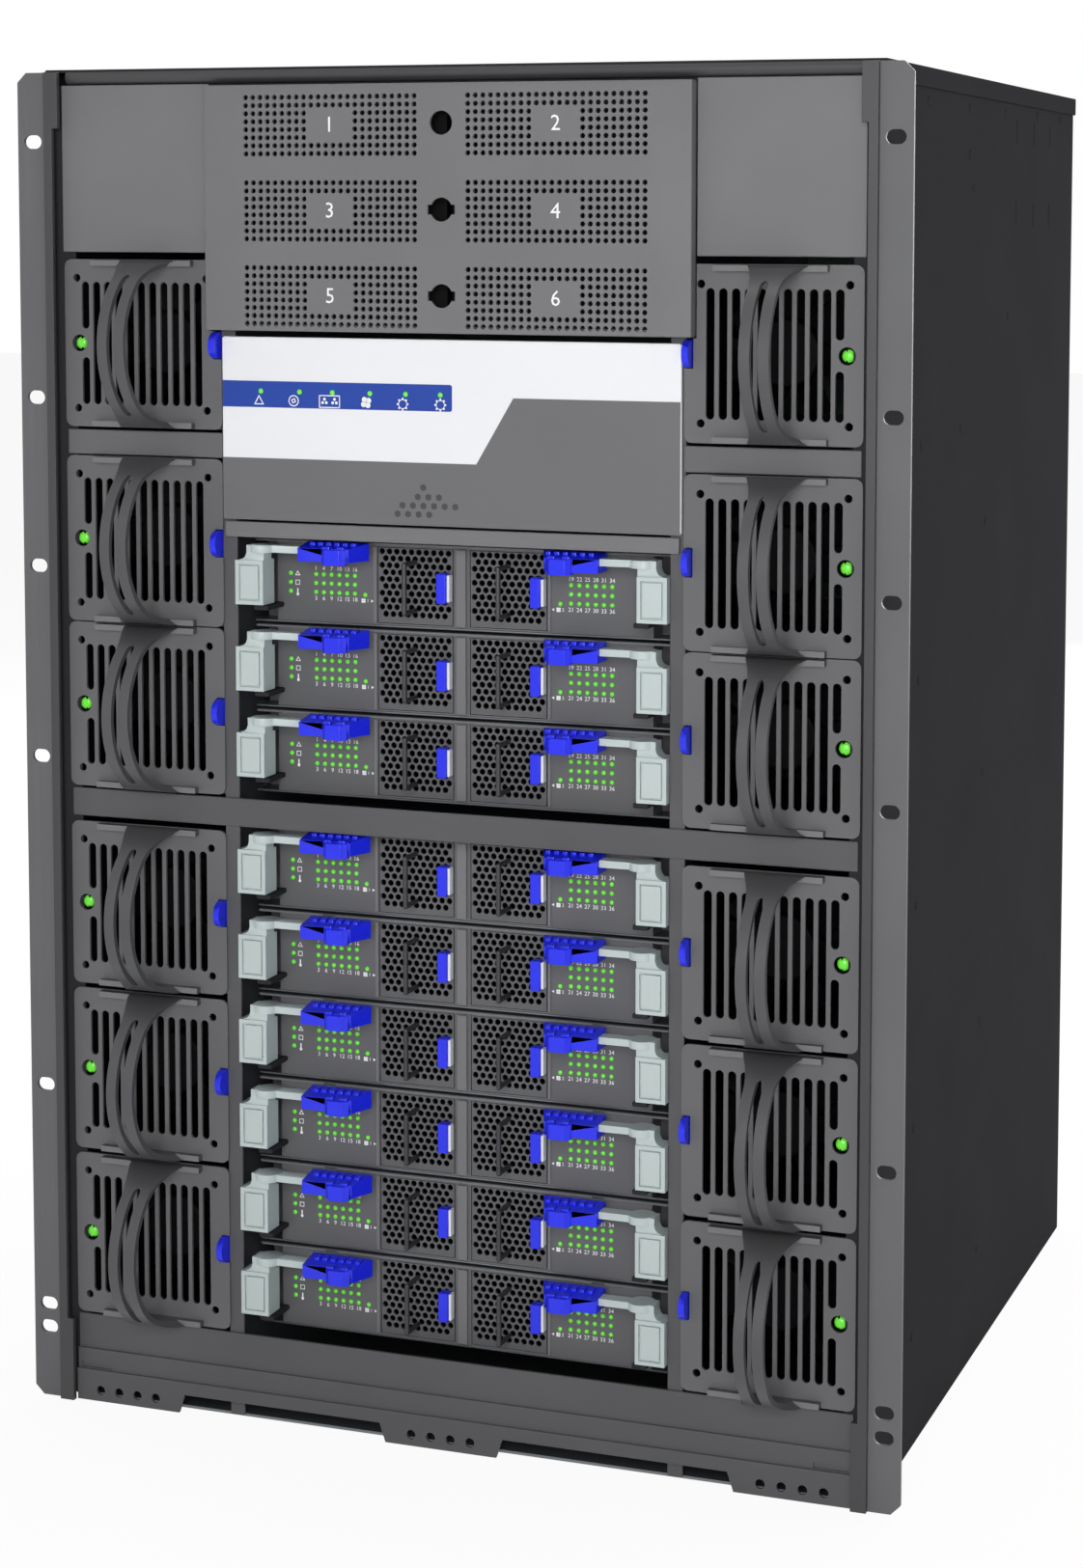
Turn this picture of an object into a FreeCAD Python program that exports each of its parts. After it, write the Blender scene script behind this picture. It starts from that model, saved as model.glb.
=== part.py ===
import FreeCAD, Part
import math
import os
import re
import Sketcher

# Rack-mount modular network switch chassis, 16 rack units high, in millimetres.
# +Z is up, the front looks along -Y, and the origin is the middle of the footprint.
# The ear plane is the front face of the rack ears; most pieces are set back from it.

doc = FreeCAD.newDocument("network_switch_chassis")

SIZES = {
    # Whole chassis
    "depth": 450.0,
    "sheet": 1.5,
    "seat_gap": 0.3,
    # Rack ears, part of the side walls; the upper two slots are measured from the top
    "ear_wide": 15.8,
    "ear_thick": 2.0,
    "ear_chamfer": 5.0,
    "ear_slot_inset": 8.75,
    "ear_slot_long": 10.2,
    "ear_slot_wide": 7.1,
    "ear_slot_z1": 38.1,
    "ear_slot_z2": 50.8,
    "ear_slot_z3": 171.45,
    "ear_slot_z4": 349.25,
    "ear_slot_z5": 450.85,
    "ear_slot_drop6": 170.65,
    "ear_slot_drop7": 37.3,
    # Top cover
    "hem_inset": 1.0,
    "hem_gap": 0.2,
    "hem_drop": 7.9,
    "hem_thick": 3.0,
    "cover_setback": 3.0,
    "cover_flange": 10.0,
    # Front frame
    "front_recess": 3.5,
    "post_width": 8.1,
    "strip_cover": 5.0,
    "column_width": 4.7,
    "column_space": 8.0,
    "column_proud": 3.0,
    "tab_reach": 4.4,
    "tab_top": 29.0,
    "tab_bottom": 45.0,
    "panel_gap": 1.0,
    "mid_bar_gap": 0.5,
    "mid_bar_tall": 15.0,
    "side_strip_gap": 0.7,
    "side_strip_tall": 13.0,
    "header_tall": 12.3,
    # Base rail
    "rail_top": 46.5,
    "rail_step": 1.5,
    "rail_bend_upper": 28.0,
    "rail_bend_lower": 17.0,
    "rail_edge": 10.0,
    "centre_foot_x": -4.0,
    "centre_foot_wide": 62.0,
    "side_foot_wide": 61.0,
    "foot_slope": 3.5,
    # Blank panels, supply cover and status panel
    "blank_clear": 3.7,
    "blank_gap": 0.6,
    "cover_side": 13.0,
    "cover_gap": 3.2,
    "cover_tall": 125.7,
    "cover_proud": 3.0,
    "cover_lip": 12.0,
    "cover_hole": 12.0,
    "cover_hole_drop": 21.0,
    "cover_hole_pitch": 43.0,
    "status_side": 6.4,
    "status_tall": 103.4,
    "status_lip": 8.0,
    "status_lip_inset": 1.0,
    "status_thick": 2.5,
    # Inner cage
    "partition_set": 3.3,
    "plug_gap": 13.0,
    "midplane_thick": 3.0,
    "cage_setback": 8.0,
    "guide_reach": 13.0,
    "guide_thick": 0.8,
    "guide_setback": 40.0,
    "supply_inset": 3.4,
    "supply_rim": 2.7,
    "supply_gap": 3.0,
    "leaf_z": 6.0,
    "leaf_pitch": 66.0,
    "leaf_gap": 4.0,
    "leaf_port_tall": 24.0,
    "leaf_port_inset": 24.0,
    "leaf_port_deep": 30.0,
    "leaf_port_rim": 3.0,
    # Fan drawers
    "fan_wide": 89.2,
    "fan_lap": 0.8,
    "fan_gap": 1.3,
    "fan_split": 0.6,
    "fan_strip_gap": 1.5,
    "fan_row_gap": 2.6,
    "fan_corner": 5.0,
    "slot_wide": 3.8,
    "slot_tall": 64.0,
    "slot_pitch": 6.55,
    "slot_first": 34.3,
    "slot_count": 11,
    "led_gap": 15.0,
    "led_bore": 8.0,
    "led_x": 39.2,
    "latch_thick": 5.5,
    "latch_radius": 7.2,
    "latch_proud": 1.5,
    "latch_gap": 0.5,
    "latch_long": 20.0,
    "duct_wide": 76.0,
    "duct_inset": 1.7,
    "duct_long": 130.0,
    "duct_wall": 1.2,
    "rotor_radius": 35.0,
    "hub_radius": 17.0,
    "hub_long": 24.0,
    "rotor_y": 24.0,
    "blade_thick": 2.0,
    "blade_chord": 20.0,
    "blade_pitch": 35.0,
    "strut_wide": 12.0,
    "strut_thick": 3.0,
    "handle_inset": 0.2,
    "handle_thick": 3.0,
    "handle_foot": 58.0,
    "grip_wide": 13.0,
    "grip_x": 5.0,
    "waist_radius": 20.0,
    "waist_lip": 2.5,
    "grip_slot": 4.0,
    "grip_slot_tall": 72.0,
    # Spine modules
    "spine_recess": 22.0,
    "spine_half": 116.8,
    "spine_clear": 1.7,
    "spine_long": 190.0,
    "spine_sheet": 1.2,
    "spine_pitch": 45.0,
    "row_gap": 1.4,
    "bay_gap": 1.0,
    "shoulder_wide": 12.8,
    "face_deep": 14.0,
    "fan_hole_inner": 4.5,
    "fan_hole_outer": 47.0,
    "fan_hole_edge": 2.0,
    "board_z": 8.0,
    "board_thick": 2.4,
    "board_front": 70.0,
    "connector_wide": 160.0,
    "connector_long": 12.0,
    "connector_tall": 14.0,
    # Ejector levers
    "pivot_y": 15.0,
    "pin_radius": 2.0,
    "pin_tall": 7.0,
    "pin_gap": 0.3,
    "bracket_z": 8.3,
    "bracket_thick": 2.5,
    "bracket_wide": 8.0,
    "bracket_long": 19.5,
    "block_lap": 1.4,
    "block_over": 1.0,
    "block_front": 20.0,
    "block_deep": 10.0,
    "block_z": 11.1,
    "block_bevel": 3.0,
    "block_rim": 1.6,
    "block_recess": 0.8,
    "neck_tall": 2.9,
    "arm_drop": 6.6,
    "arm_thick": 3.2,
    "arm_end": 60.0,
    "arm_round": 5.0,
    "grip_drop": 8.8,
    "grip_tall": 6.6,
    "grip_outer": 82.0,
    "grip_shoulder": 69.0,
    "grip_nose_outer": 67.9,
    "grip_nose_inner": 54.8,
    "grip_inner": 48.0,
    "grip_nose": 24.0,
    "grip_face": 21.5,
    "grip_back": 8.0,
    # Spine fans
    "cell_inner": 5.0,
    "cell_outer": 46.5,
    "cell_long": 60.0,
    "cell_wall": 1.0,
    "wire_thick": 1.8,
    "wire_half": 12.5,
    "wire_reach": 14.0,
    "tab_wide": 5.6,
    "tab_tall": 14.0,
    "tab_deep": 6.0,
}

# Lengths that follow from the driving sizes. The bays set the chassis' width and height:
# outwards from the spines to the walls, and upwards from the base rail to the top cover.
DERIVED = {
    "spine_tall": "spine_pitch - row_gap",
    "fan_tall": "2 * spine_pitch - fan_row_gap",
    "duct_tall": "fan_tall - 2 * duct_inset",
    "handle_radius": "fan_tall / 2 - handle_inset",
    "ear_plane": "(handle_radius - front_recess - depth) / 2",
    "rear_edge": "(handle_radius - front_recess + depth) / 2",
    "plate_front": "ear_plane + front_recess",
    "plate_back": "plate_front + sheet",
    "spine_front": "ear_plane + spine_recess",
    "midplane_y": "spine_recess + spine_long + plug_gap",
    "midplane": "ear_plane + midplane_y",
    "cage_front": "ear_plane + cage_setback",
    "bay_half": "spine_half + spine_clear",
    "partition_x": "bay_half + partition_set",
    "fan_inner": "bay_half + post_width - fan_lap",
    "fan_x": "fan_inner + fan_wide / 2",
    "panel_half": "fan_inner + fan_wide + panel_gap",
    "wall_inner": "panel_half + column_space",
    "body_width": "2 * (wall_inner + sheet)",
    "rack_width": "body_width + 2 * ear_wide",
    "ear_slot_x": "rack_width / 2 - ear_slot_inset",
    "hem_half": "panel_half - hem_inset",
    "strip_inner": "panel_half - strip_cover",
    "side_foot_x": "panel_half - side_foot_wide",
    "cover_half": "bay_half + cover_side",
    "status_half": "bay_half + status_side",
    "supply_wide": "partition_x - seat_gap - sheet",
    "leaf_port_wide": "2 * (wall_inner - leaf_port_inset)",
    "lower_bay_z": "rail_top + bay_gap",
    "mid_bar_z": "lower_bay_z + 6 * spine_pitch + mid_bar_gap",
    "mid_bar_top": "mid_bar_z + mid_bar_tall",
    "upper_bay_z": "mid_bar_top + bay_gap",
    "status_z": "upper_bay_z + 3 * spine_pitch + bay_gap",
    "status_top": "status_z + status_tall",
    "cover_z": "status_top + cover_gap",
    "panel_top": "cover_z + cover_tall",
    "header_z": "panel_top - header_tall",
    "height": "panel_top + hem_gap + hem_drop",
    "wall_top": "height - sheet",
    "ear_slot_z6": "height - ear_slot_drop6",
    "ear_slot_z7": "height - ear_slot_drop7",
    "fan_6_z": "rail_top + fan_gap + fan_tall / 2",
    "fan_5_z": "fan_6_z + 2 * spine_pitch",
    "fan_4_z": "fan_5_z + 2 * spine_pitch",
    "fan_3_z": "mid_bar_top + fan_gap + fan_tall / 2",
    "fan_2_z": "fan_3_z + fan_tall + fan_split",
    "side_strip_z": "fan_2_z + fan_tall / 2 + side_strip_gap",
    "fan_1_z": "side_strip_z + side_strip_tall + fan_strip_gap + fan_tall / 2",
    "blank_z": "fan_1_z + fan_tall / 2 + blank_clear",
    "supply_z": "cover_z + supply_inset",
    "supply_pitch": "(cover_tall - supply_rim) / 3",
    "supply_tall": "supply_pitch - supply_gap",
    "leaf_tall": "leaf_pitch - leaf_gap",
    "rear_panel_z": "leaf_z + 8 * leaf_pitch + leaf_tall + leaf_gap / 2",
    "face_half": "spine_half - shoulder_wide",
    "pivot_x": "face_half",
    "block_inner": "face_half - block_lap",
    "block_outer": "spine_half + block_over",
    "arm_z": "spine_tall - arm_drop",
    "block_tall": "arm_z - neck_tall - block_z",
    "grip_z": "spine_tall - grip_drop",
}

sheet = doc.addObject("Spreadsheet::Sheet", "Sizes")
for row, (alias, entry) in enumerate({**SIZES, **DERIVED}.items(), 1):
    sheet.set("A%d" % row, alias)
    sheet.set("B%d" % row, "=" + entry if alias in DERIVED else str(entry))
    sheet.setAlias("B%d" % row, alias)
    doc.recompute()


def formula(text):
    """Turn the words of the size lists into cells of the sheet."""

    def cell(match):
        word = match.group(0)
        return "Sizes." + word if word in SIZES or word in DERIVED else word

    return re.sub(r"[a-z]\w*", cell, text)


def bind(obj, prop, text):
    obj.setExpression(prop, formula(text))


def place(obj, x, y, z):
    """Put an object's origin at a point given by three formulas."""
    for axis, text in zip("xyz", (x, y, z)):
        bind(obj, "Placement.Base." + axis, text)
    return obj


def box(name, corner, size):
    """A sheet or block from its lowest corner and its three lengths."""
    obj = doc.addObject("Part::Box", name)
    for prop, text in zip(("Length", "Width", "Height"), size):
        bind(obj, prop, text)
    return place(obj, *corner)


def cut(name, base, tool):
    obj = doc.addObject("Part::Cut", name)
    obj.Base = base
    obj.Tool = tool
    return obj


def fuse(name, shapes):
    obj = doc.addObject("Part::MultiFuse", name)
    obj.Shapes = shapes
    return obj


def mirrored(name, source):
    """The other hand of a piece, across the chassis' middle plane."""
    obj = doc.addObject("Part::Mirroring", name)
    obj.Source = source
    obj.Base = FreeCAD.Vector(0, 0, 0)
    obj.Normal = X_AXIS
    return obj


X_AXIS = FreeCAD.Vector(1, 0, 0)
Y_AXIS = FreeCAD.Vector(0, 1, 0)
Z_AXIS = FreeCAD.Vector(0, 0, 1)
NODES = []


def node(name, pieces, x="0", y="0", z="0"):
    """A named sub-part: its separate solids, placed together."""
    obj = doc.addObject("Part::Compound", name)
    obj.Label = name
    obj.Links = pieces
    place(obj, x, y, z)
    NODES.append(obj)
    return obj


def body(name):
    return doc.addObject("PartDesign::Body", name)


def sketch(owner, role, offset="0"):
    """A sketch on one of a body's own planes, moved along the plane's normal."""
    obj = owner.newObject("Sketcher::SketchObject", owner.Name + "_sketch")
    plane = next(item for item in owner.Origin.OriginFeatures if item.Role == role)
    obj.AttachmentSupport = [(plane, "")]
    obj.MapMode = "FlatFace"
    bind(obj, "AttachmentOffset.Base.z", offset)
    return obj


def locate(sk, geometry, point, x, y):
    """Dimension one point of a sketch from the sketch's origin."""
    for kind, text in (("DistanceX", x), ("DistanceY", y)):
        index = sk.addConstraint(Sketcher.Constraint(kind, -1, 1, geometry, point, number(text)))
        bind(sk, "Constraints[%d]" % index, text)


def number(text):
    """The present value of a formula, for a sketch's first guess."""
    return float(sheet.evalExpression(formula(text).replace("Sizes.", "")))


def outline(sk, points):
    """A closed outline of straight edges, each corner dimensioned by two formulas."""
    corners = [FreeCAD.Vector(number(x), number(y), 0) for x, y in points]
    first = sk.GeometryCount
    for index, corner in enumerate(corners):
        following = corners[(index + 1) % len(corners)]
        sk.addGeometry(Part.LineSegment(corner, following), False)
    for index, (x, y) in enumerate(points):
        following = first + (index + 1) % len(points)
        sk.addConstraint(Sketcher.Constraint("Coincident", first + index, 2, following, 1))
        locate(sk, first + index, 1, x, y)


def ring(sk, x, y, radius, sides):
    """A regular outline that stands for a small round hole or boss."""
    points = []
    for index in range(sides):
        turn = 2 * math.pi * (index + 0.5) / sides
        across = "%s + %.6f * (%s)" % (x, math.cos(turn), radius)
        along = "%s + %.6f * (%s)" % (y, math.sin(turn), radius)
        points.append((across, along))
    outline(sk, points)


def round_slot(sk, x, y, length, width):
    """A slot with half-round ends along the sketch's first axis."""
    reach = "((%s) - (%s)) / 2" % (length, width)
    radius = "(%s) / 2" % width
    lines = []
    for side in (-1, 1):
        level = "%s + %d * %s" % (y, side, radius)
        start = "%s + %d * %s" % (x, side, reach)
        stop = "%s - %d * %s" % (x, side, reach)
        ends = [FreeCAD.Vector(number(end), number(level), 0) for end in (start, stop)]
        lines.append(sk.addGeometry(Part.LineSegment(*ends), False))
        locate(sk, lines[-1], 1, start, level)
        locate(sk, lines[-1], 2, stop, level)
    low, high = lines
    for before, after, side in ((low, high, 1), (high, low, -1)):
        first = sk.getPoint(before, 2)
        last = sk.getPoint(after, 1)
        tip = FreeCAD.Vector(first.x + side * number(radius), number(y), 0)
        arc = sk.addGeometry(Part.Arc(first, tip, last), False)
        near, far = (2, 1) if sk.getPoint(arc, 1).distanceToPoint(last) < number(radius) else (1, 2)
        sk.addConstraint(Sketcher.Constraint("Coincident", before, 2, arc, near))
        sk.addConstraint(Sketcher.Constraint("Coincident", after, 1, arc, far))
        centre = sk.addConstraint(Sketcher.Constraint("DistanceX", -1, 1, arc, 3, first.x))
        bind(sk, "Constraints[%d]" % centre, "%s + %d * %s" % (x, side, reach))


def pad(owner, sk, length, backwards=False):
    obj = owner.newObject("PartDesign::Pad", owner.Name + "_pad")
    obj.Profile = sk
    obj.Reversed = backwards
    bind(obj, "Length", length)
    return obj


def pocket(owner, sk, depth="", backwards=False):
    """Cut a sketch to a depth, or right through when no depth is given."""
    obj = owner.newObject("PartDesign::Pocket", owner.Name + "_pocket")
    obj.Profile = sk
    if depth:
        obj.Reversed = backwards
        bind(obj, "Length", depth)
    else:
        obj.Type = "ThroughAll"
        obj.Midplane = True
    return obj


def rectangle(left, low, right, high):
    return [(left, low), (right, low), (right, high), (left, high)]


# Side walls: one bent sheet each, whose front edge turns outwards into the rack ear
wall = body("wall_right")
plan = sketch(wall, "XY_Plane")
outline(plan, [
    ("wall_inner", "ear_plane"),
    ("rack_width / 2", "ear_plane"),
    ("rack_width / 2", "ear_plane + ear_thick"),
    ("body_width / 2", "ear_plane + ear_thick"),
    ("body_width / 2", "rear_edge"),
    ("wall_inner", "rear_edge"),
])
pad(wall, plan, "wall_top")
corners = sketch(wall, "XZ_Plane")
for level, inward in (("0", "ear_chamfer"), ("wall_top", "wall_top - ear_chamfer")):
    outline(corners, [
        ("rack_width / 2", level),
        ("rack_width / 2", inward),
        ("rack_width / 2 - ear_chamfer", level),
    ])
pocket(wall, corners)
slots = sketch(wall, "XZ_Plane")
for index in range(1, 8):
    round_slot(slots, "ear_slot_x", "ear_slot_z%d" % index, "ear_slot_long", "ear_slot_wide")
pocket(wall, slots)
node("side_wall_right", [wall])
node("side_wall_left", [mirrored("wall_left", wall)])

# Top cover: a sheet with a thick rolled hem at the front and flanges over the side walls
cover_side = "body_width / 2 + sheet"
top_sheet = box("top_sheet", ("-(%s)" % cover_side, "ear_plane + cover_setback", "wall_top"),
                ("2 * (%s)" % cover_side, "depth - cover_setback", "sheet"))
top_hem = box("top_hem", ("-hem_half", "ear_plane + cover_setback", "height - hem_drop"),
              ("2 * hem_half", "hem_thick", "hem_drop - sheet"))
cover_flanges = [
    box("cover_flange", (x, "ear_plane + cover_setback", "height - cover_flange"),
        ("sheet", "depth - cover_setback", "cover_flange - sheet"))
    for x in ("body_width / 2", "-body_width / 2 - sheet")
]
node("top_cover", [fuse("top_pan", [top_sheet, top_hem] + cover_flanges)])

# Inner cage: floor, partitions, shelves and guides that carry the modules
floor = box("floor", ("-wall_inner", "cage_front", "0"), ("2 * wall_inner", "rear_edge - cage_front", "sheet"))
cage = [floor]
for name, x in (("right", "partition_x"), ("left", "-partition_x - sheet")):
    cage.append(box("partition_" + name, (x, "cage_front", "sheet"),
                    ("sheet", "midplane - cage_front", "wall_top - sheet")))
FANS = ["fan_%d_z" % index for index in range(1, 7)]
shelf_wide = "wall_inner - partition_x - sheet"
for level in FANS:
    for x in ("partition_x + sheet", "-wall_inner"):
        cage.append(box("fan_shelf", (x, "cage_front", level + " - duct_tall / 2 - seat_gap - sheet"),
                        (shelf_wide, "midplane - cage_front", "sheet")))
LOWER_ROWS = ["lower_bay_z + %d * spine_pitch" % index for index in range(6)]
UPPER_ROWS = ["upper_bay_z + %d * spine_pitch" % index for index in range(3)]
SPINES = list(reversed(LOWER_ROWS + UPPER_ROWS))
for level in SPINES:
    for x in ("partition_x - guide_reach", "-partition_x"):
        cage.append(box("spine_guide", (x, "ear_plane + guide_setback", level + " - seat_gap - guide_thick"),
                        ("guide_reach", "midplane_y - guide_setback", "guide_thick")))
SUPPLIES = ["supply_z + %d * supply_pitch" % index for index in range(3)]
for level in SUPPLIES:
    cage.append(box("supply_shelf", ("-partition_x", "cage_front", level + " - seat_gap - sheet"),
                    ("2 * partition_x", "midplane - cage_front", "sheet")))
LEAVES = ["leaf_z + %d * leaf_pitch" % index for index in range(9)]
for level in LEAVES:
    cage.append(box("leaf_shelf", ("-wall_inner", "midplane + midplane_thick", level + " - seat_gap - sheet"),
                    ("2 * wall_inner", "rear_edge - midplane - midplane_thick", "sheet")))
cage.append(box("rear_panel", ("-wall_inner", "rear_edge - sheet", "rear_panel_z"),
                ("2 * wall_inner", "sheet", "wall_top - rear_panel_z")))
node("inner_cage", cage)

# Midplane board: the spines plug into its front, the leaf modules into its back
midplane_board = box("midplane_panel", ("-wall_inner", "midplane", "sheet"),
                     ("2 * wall_inner", "midplane_thick", "wall_top - sheet"))
node("midplane_board", [midplane_board])


def shell(name, corner, size, wall):
    """A closed sheet housing."""
    outer = box(name + "_outer", corner, size)
    inner_corner = ["%s + %s" % (text, wall) for text in corner]
    inner_size = ["%s - 2 * %s" % (text, wall) for text in size]
    return cut(name, outer, box(name + "_inner", inner_corner, inner_size))


# Power supplies: six closed housings behind the perforated cover
supplies = []
for level in SUPPLIES:
    for x in ("partition_x - seat_gap - supply_wide", "seat_gap - partition_x"):
        supplies.append(shell("supply", (x, "cage_front", level),
                              ("supply_wide", "midplane - cage_front - seat_gap", "supply_tall"), "sheet"))
node("power_supplies", supplies)

# Leaf modules: wide housings that slide in from the rear, each with a row of sockets behind a long window
leaves = []
for level in LEAVES:
    leaf = shell("leaf_box", ("seat_gap - wall_inner", "midplane + midplane_thick + seat_gap", level),
                 ("2 * wall_inner - 2 * seat_gap",
                  "rear_edge - midplane - midplane_thick - seat_gap", "leaf_tall"), "sheet")
    window = box("leaf_window", ("-leaf_port_wide / 2", "rear_edge - 2 * sheet",
                                 level + " + (leaf_tall - leaf_port_tall) / 2"),
                 ("leaf_port_wide", "3 * sheet", "leaf_port_tall"))
    sockets = box("leaf_sockets", ("-leaf_port_wide / 2 - leaf_port_rim", "rear_edge - sheet - leaf_port_deep",
                                   level + " + (leaf_tall - leaf_port_tall) / 2 - leaf_port_rim"),
                  ("leaf_port_wide + 2 * leaf_port_rim", "leaf_port_deep",
                   "leaf_port_tall + 2 * leaf_port_rim"))
    leaves += [cut("leaf", leaf, window), sockets]
node("leaf_modules", leaves)

# Front frame: posts, outer strips, header, mid bar, side strips and the columns at the ears
frame_pieces = []
for x in ("bay_half", "-bay_half - post_width"):
    frame_pieces.append(box("post", (x, "plate_back", "sheet"), ("post_width", "sheet", "header_z - sheet")))
for x in ("strip_inner", "-wall_inner"):
    frame_pieces.append(box("outer_strip", (x, "plate_back", "sheet"),
                            ("wall_inner - strip_inner", "sheet", "header_z - sheet")))
frame_pieces.append(box("header", ("-wall_inner", "plate_back", "header_z"),
                        ("2 * wall_inner", "sheet", "panel_top - header_z")))
frame_pieces.append(box("mid_bar", ("-panel_half", "plate_front", "mid_bar_z"),
                        ("2 * panel_half", "sheet", "mid_bar_tall")))
for x in ("fan_inner", "-panel_half"):
    frame_pieces.append(box("side_strip", (x, "plate_front", "side_strip_z"),
                            ("panel_half - fan_inner", "sheet", "side_strip_tall")))
column = body("column_right")
face = sketch(column, "XZ_Plane", "-ear_plane")
column_inner = "body_width / 2 - column_width"
outline(face, [
    ("body_width / 2", "0"),
    ("body_width / 2", "wall_top"),
    (column_inner + " - tab_reach", "wall_top"),
    (column_inner + " - tab_reach", "wall_top - tab_top"),
    (column_inner, "wall_top - tab_top"),
    (column_inner, "tab_bottom"),
    (column_inner + " - tab_reach", "tab_bottom"),
    (column_inner + " - tab_reach", "0"),
])
pad(column, face, "column_proud")
frame_pieces += [column, mirrored("column_left", column)]
node("front_frame", frame_pieces)

# Base rail: a sheet stepped forward at two bends, with three feet that reach the floor
rail = body("rail")
profile = sketch(rail, "YZ_Plane", "-panel_half")
outline(profile, [
    ("plate_front", "rail_top"),
    ("plate_front", "rail_bend_upper"),
    ("plate_front - rail_step", "rail_bend_upper"),
    ("plate_front - rail_step", "rail_bend_lower"),
    ("plate_front - 2 * rail_step", "rail_bend_lower"),
    ("plate_front - 2 * rail_step", "rail_edge"),
    ("plate_front + sheet - 2 * rail_step", "rail_edge"),
    ("plate_front + sheet - 2 * rail_step", "rail_bend_lower - sheet"),
    ("plate_front + sheet - rail_step", "rail_bend_lower - sheet"),
    ("plate_front + sheet - rail_step", "rail_bend_upper - sheet"),
    ("plate_back", "rail_bend_upper - sheet"),
    ("plate_back", "rail_top"),
])
pad(rail, profile, "2 * panel_half")
feet = sketch(rail, "XZ_Plane", "2 * rail_step - plate_front")
outline(feet, [
    ("centre_foot_x - centre_foot_wide / 2 - foot_slope", "rail_edge"),
    ("centre_foot_x - centre_foot_wide / 2", "0"),
    ("centre_foot_x + centre_foot_wide / 2", "0"),
    ("centre_foot_x + centre_foot_wide / 2 + foot_slope", "rail_edge"),
])
for sign in ("", "-"):
    outline(feet, [
        (sign + "(side_foot_x - foot_slope)", "rail_edge"),
        (sign + "side_foot_x", "0"),
        (sign + "panel_half", "0"),
        (sign + "panel_half", "rail_edge"),
    ])
pad(rail, feet, "sheet", backwards=True)
node("base_rail", [rail])

# Blank panels close the top corners
blank_inner = "cover_half + blank_gap"
blank_size = ("panel_half - cover_half - blank_gap", "sheet", "panel_top - blank_z")
blanks = [box("blank", (x, "plate_front", "blank_z"), blank_size) for x in (blank_inner, "-panel_half")]
node("blank_panels", blanks)

# Status panel: a moulded bezel over the posts, with a narrower lip along its lower edge
status_front = "plate_back - seat_gap - status_thick"
bezel = box("status_face", ("-status_half", status_front, "status_z + status_lip"),
            ("2 * status_half", "status_thick", "status_top - status_z - status_lip"))
bezel_lip = box("status_lower_lip", ("status_lip_inset - status_half", status_front, "status_z"),
                ("2 * status_half - 2 * status_lip_inset", "status_thick", "status_lip"))
node("status_panel", [fuse("status_bezel", [bezel, bezel_lip])])

# Supply cover: a shallow pan whose side flanges turn back in and rest on the posts
pan = body("supply_pan")
plan = sketch(pan, "XY_Plane", "cover_z")
pan_front = "ear_plane - cover_proud"
pan_back = "plate_back - seat_gap"
outline(plan, [
    ("-cover_half", pan_front),
    ("cover_half", pan_front),
    ("cover_half", pan_back),
    ("cover_half - cover_lip", pan_back),
    ("cover_half - cover_lip", pan_back + " - sheet"),
    ("cover_half - sheet", pan_back + " - sheet"),
    ("cover_half - sheet", pan_front + " + sheet"),
    ("sheet - cover_half", pan_front + " + sheet"),
    ("sheet - cover_half", pan_back + " - sheet"),
    ("cover_lip - cover_half", pan_back + " - sheet"),
    ("cover_lip - cover_half", pan_back),
    ("-cover_half", pan_back),
])
pad(pan, plan, "panel_top - cover_z")
holes = sketch(pan, "XZ_Plane")
for index in range(3):
    ring(holes, "0", "panel_top - cover_hole_drop - %d * cover_hole_pitch" % index, "cover_hole / 2", 12)
pocket(pan, holes)
node("supply_cover", [pan])

# Fan drawer plate for the left bank, with its light towards the outer edge.
# The drawer's own frame has the plate's front face at zero and the plate's middle at the origin.
plate = body("fan_plate")
face = sketch(plate, "XZ_Plane")
outline(face, rectangle("-fan_wide / 2", "-fan_tall / 2", "fan_wide / 2", "fan_tall / 2"))
sheet_pad = pad(plate, face, "sheet", backwards=True)
doc.recompute()


def edges_along(shape, axis, keep):
    """Names of a shape's straight edges along an axis whose middle passes a test."""
    names = []
    for index, edge in enumerate(shape.Edges, 1):
        first, last = (vertex.Point for vertex in edge.Vertexes[:2])
        run = last.sub(first)
        if run.cross(axis).Length < 0.001 and keep(edge.CenterOfMass):
            names.append("Edge%d" % index)
    return names


bevel = plate.newObject("PartDesign::Chamfer", "plate_corners")
bevel.Base = (sheet_pad, edges_along(sheet_pad.Shape, Y_AXIS, lambda point: True))
bind(bevel, "Size", "fan_corner")


def slot_outline(sk, x, low, high):
    """An upright ventilation slot."""
    outline(sk, rectangle(x + " - slot_wide / 2", low, x + " + slot_wide / 2", high))


opening = sketch(plate, "XZ_Plane")
slot_outline(opening, "slot_pitch - slot_first", "-slot_tall / 2", "slot_tall / 2")
vent = pocket(plate, opening)
doc.recompute()
vents = plate.newObject("PartDesign::LinearPattern", "plate_vents")
vents.Originals = [vent]
vents.Direction = (opening, ["H_Axis"])
bind(vents, "Length", "slot_pitch * (slot_count - 2)")
bind(vents, "Occurrences", "slot_count - 1")
plate.Tip = vents
light_side = sketch(plate, "XZ_Plane")
slot_outline(light_side, "-slot_first", "led_gap / 2", "slot_tall / 2")
slot_outline(light_side, "-slot_first", "-slot_tall / 2", "-led_gap / 2")
ring(light_side, "-led_x", "0", "led_bore / 2", 8)
outline(light_side, rectangle("duct_wide / 2 - latch_gap", "-latch_radius - latch_gap",
                              "fan_wide / 2 + latch_gap", "latch_radius + latch_gap"))
pocket(plate, light_side)

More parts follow.
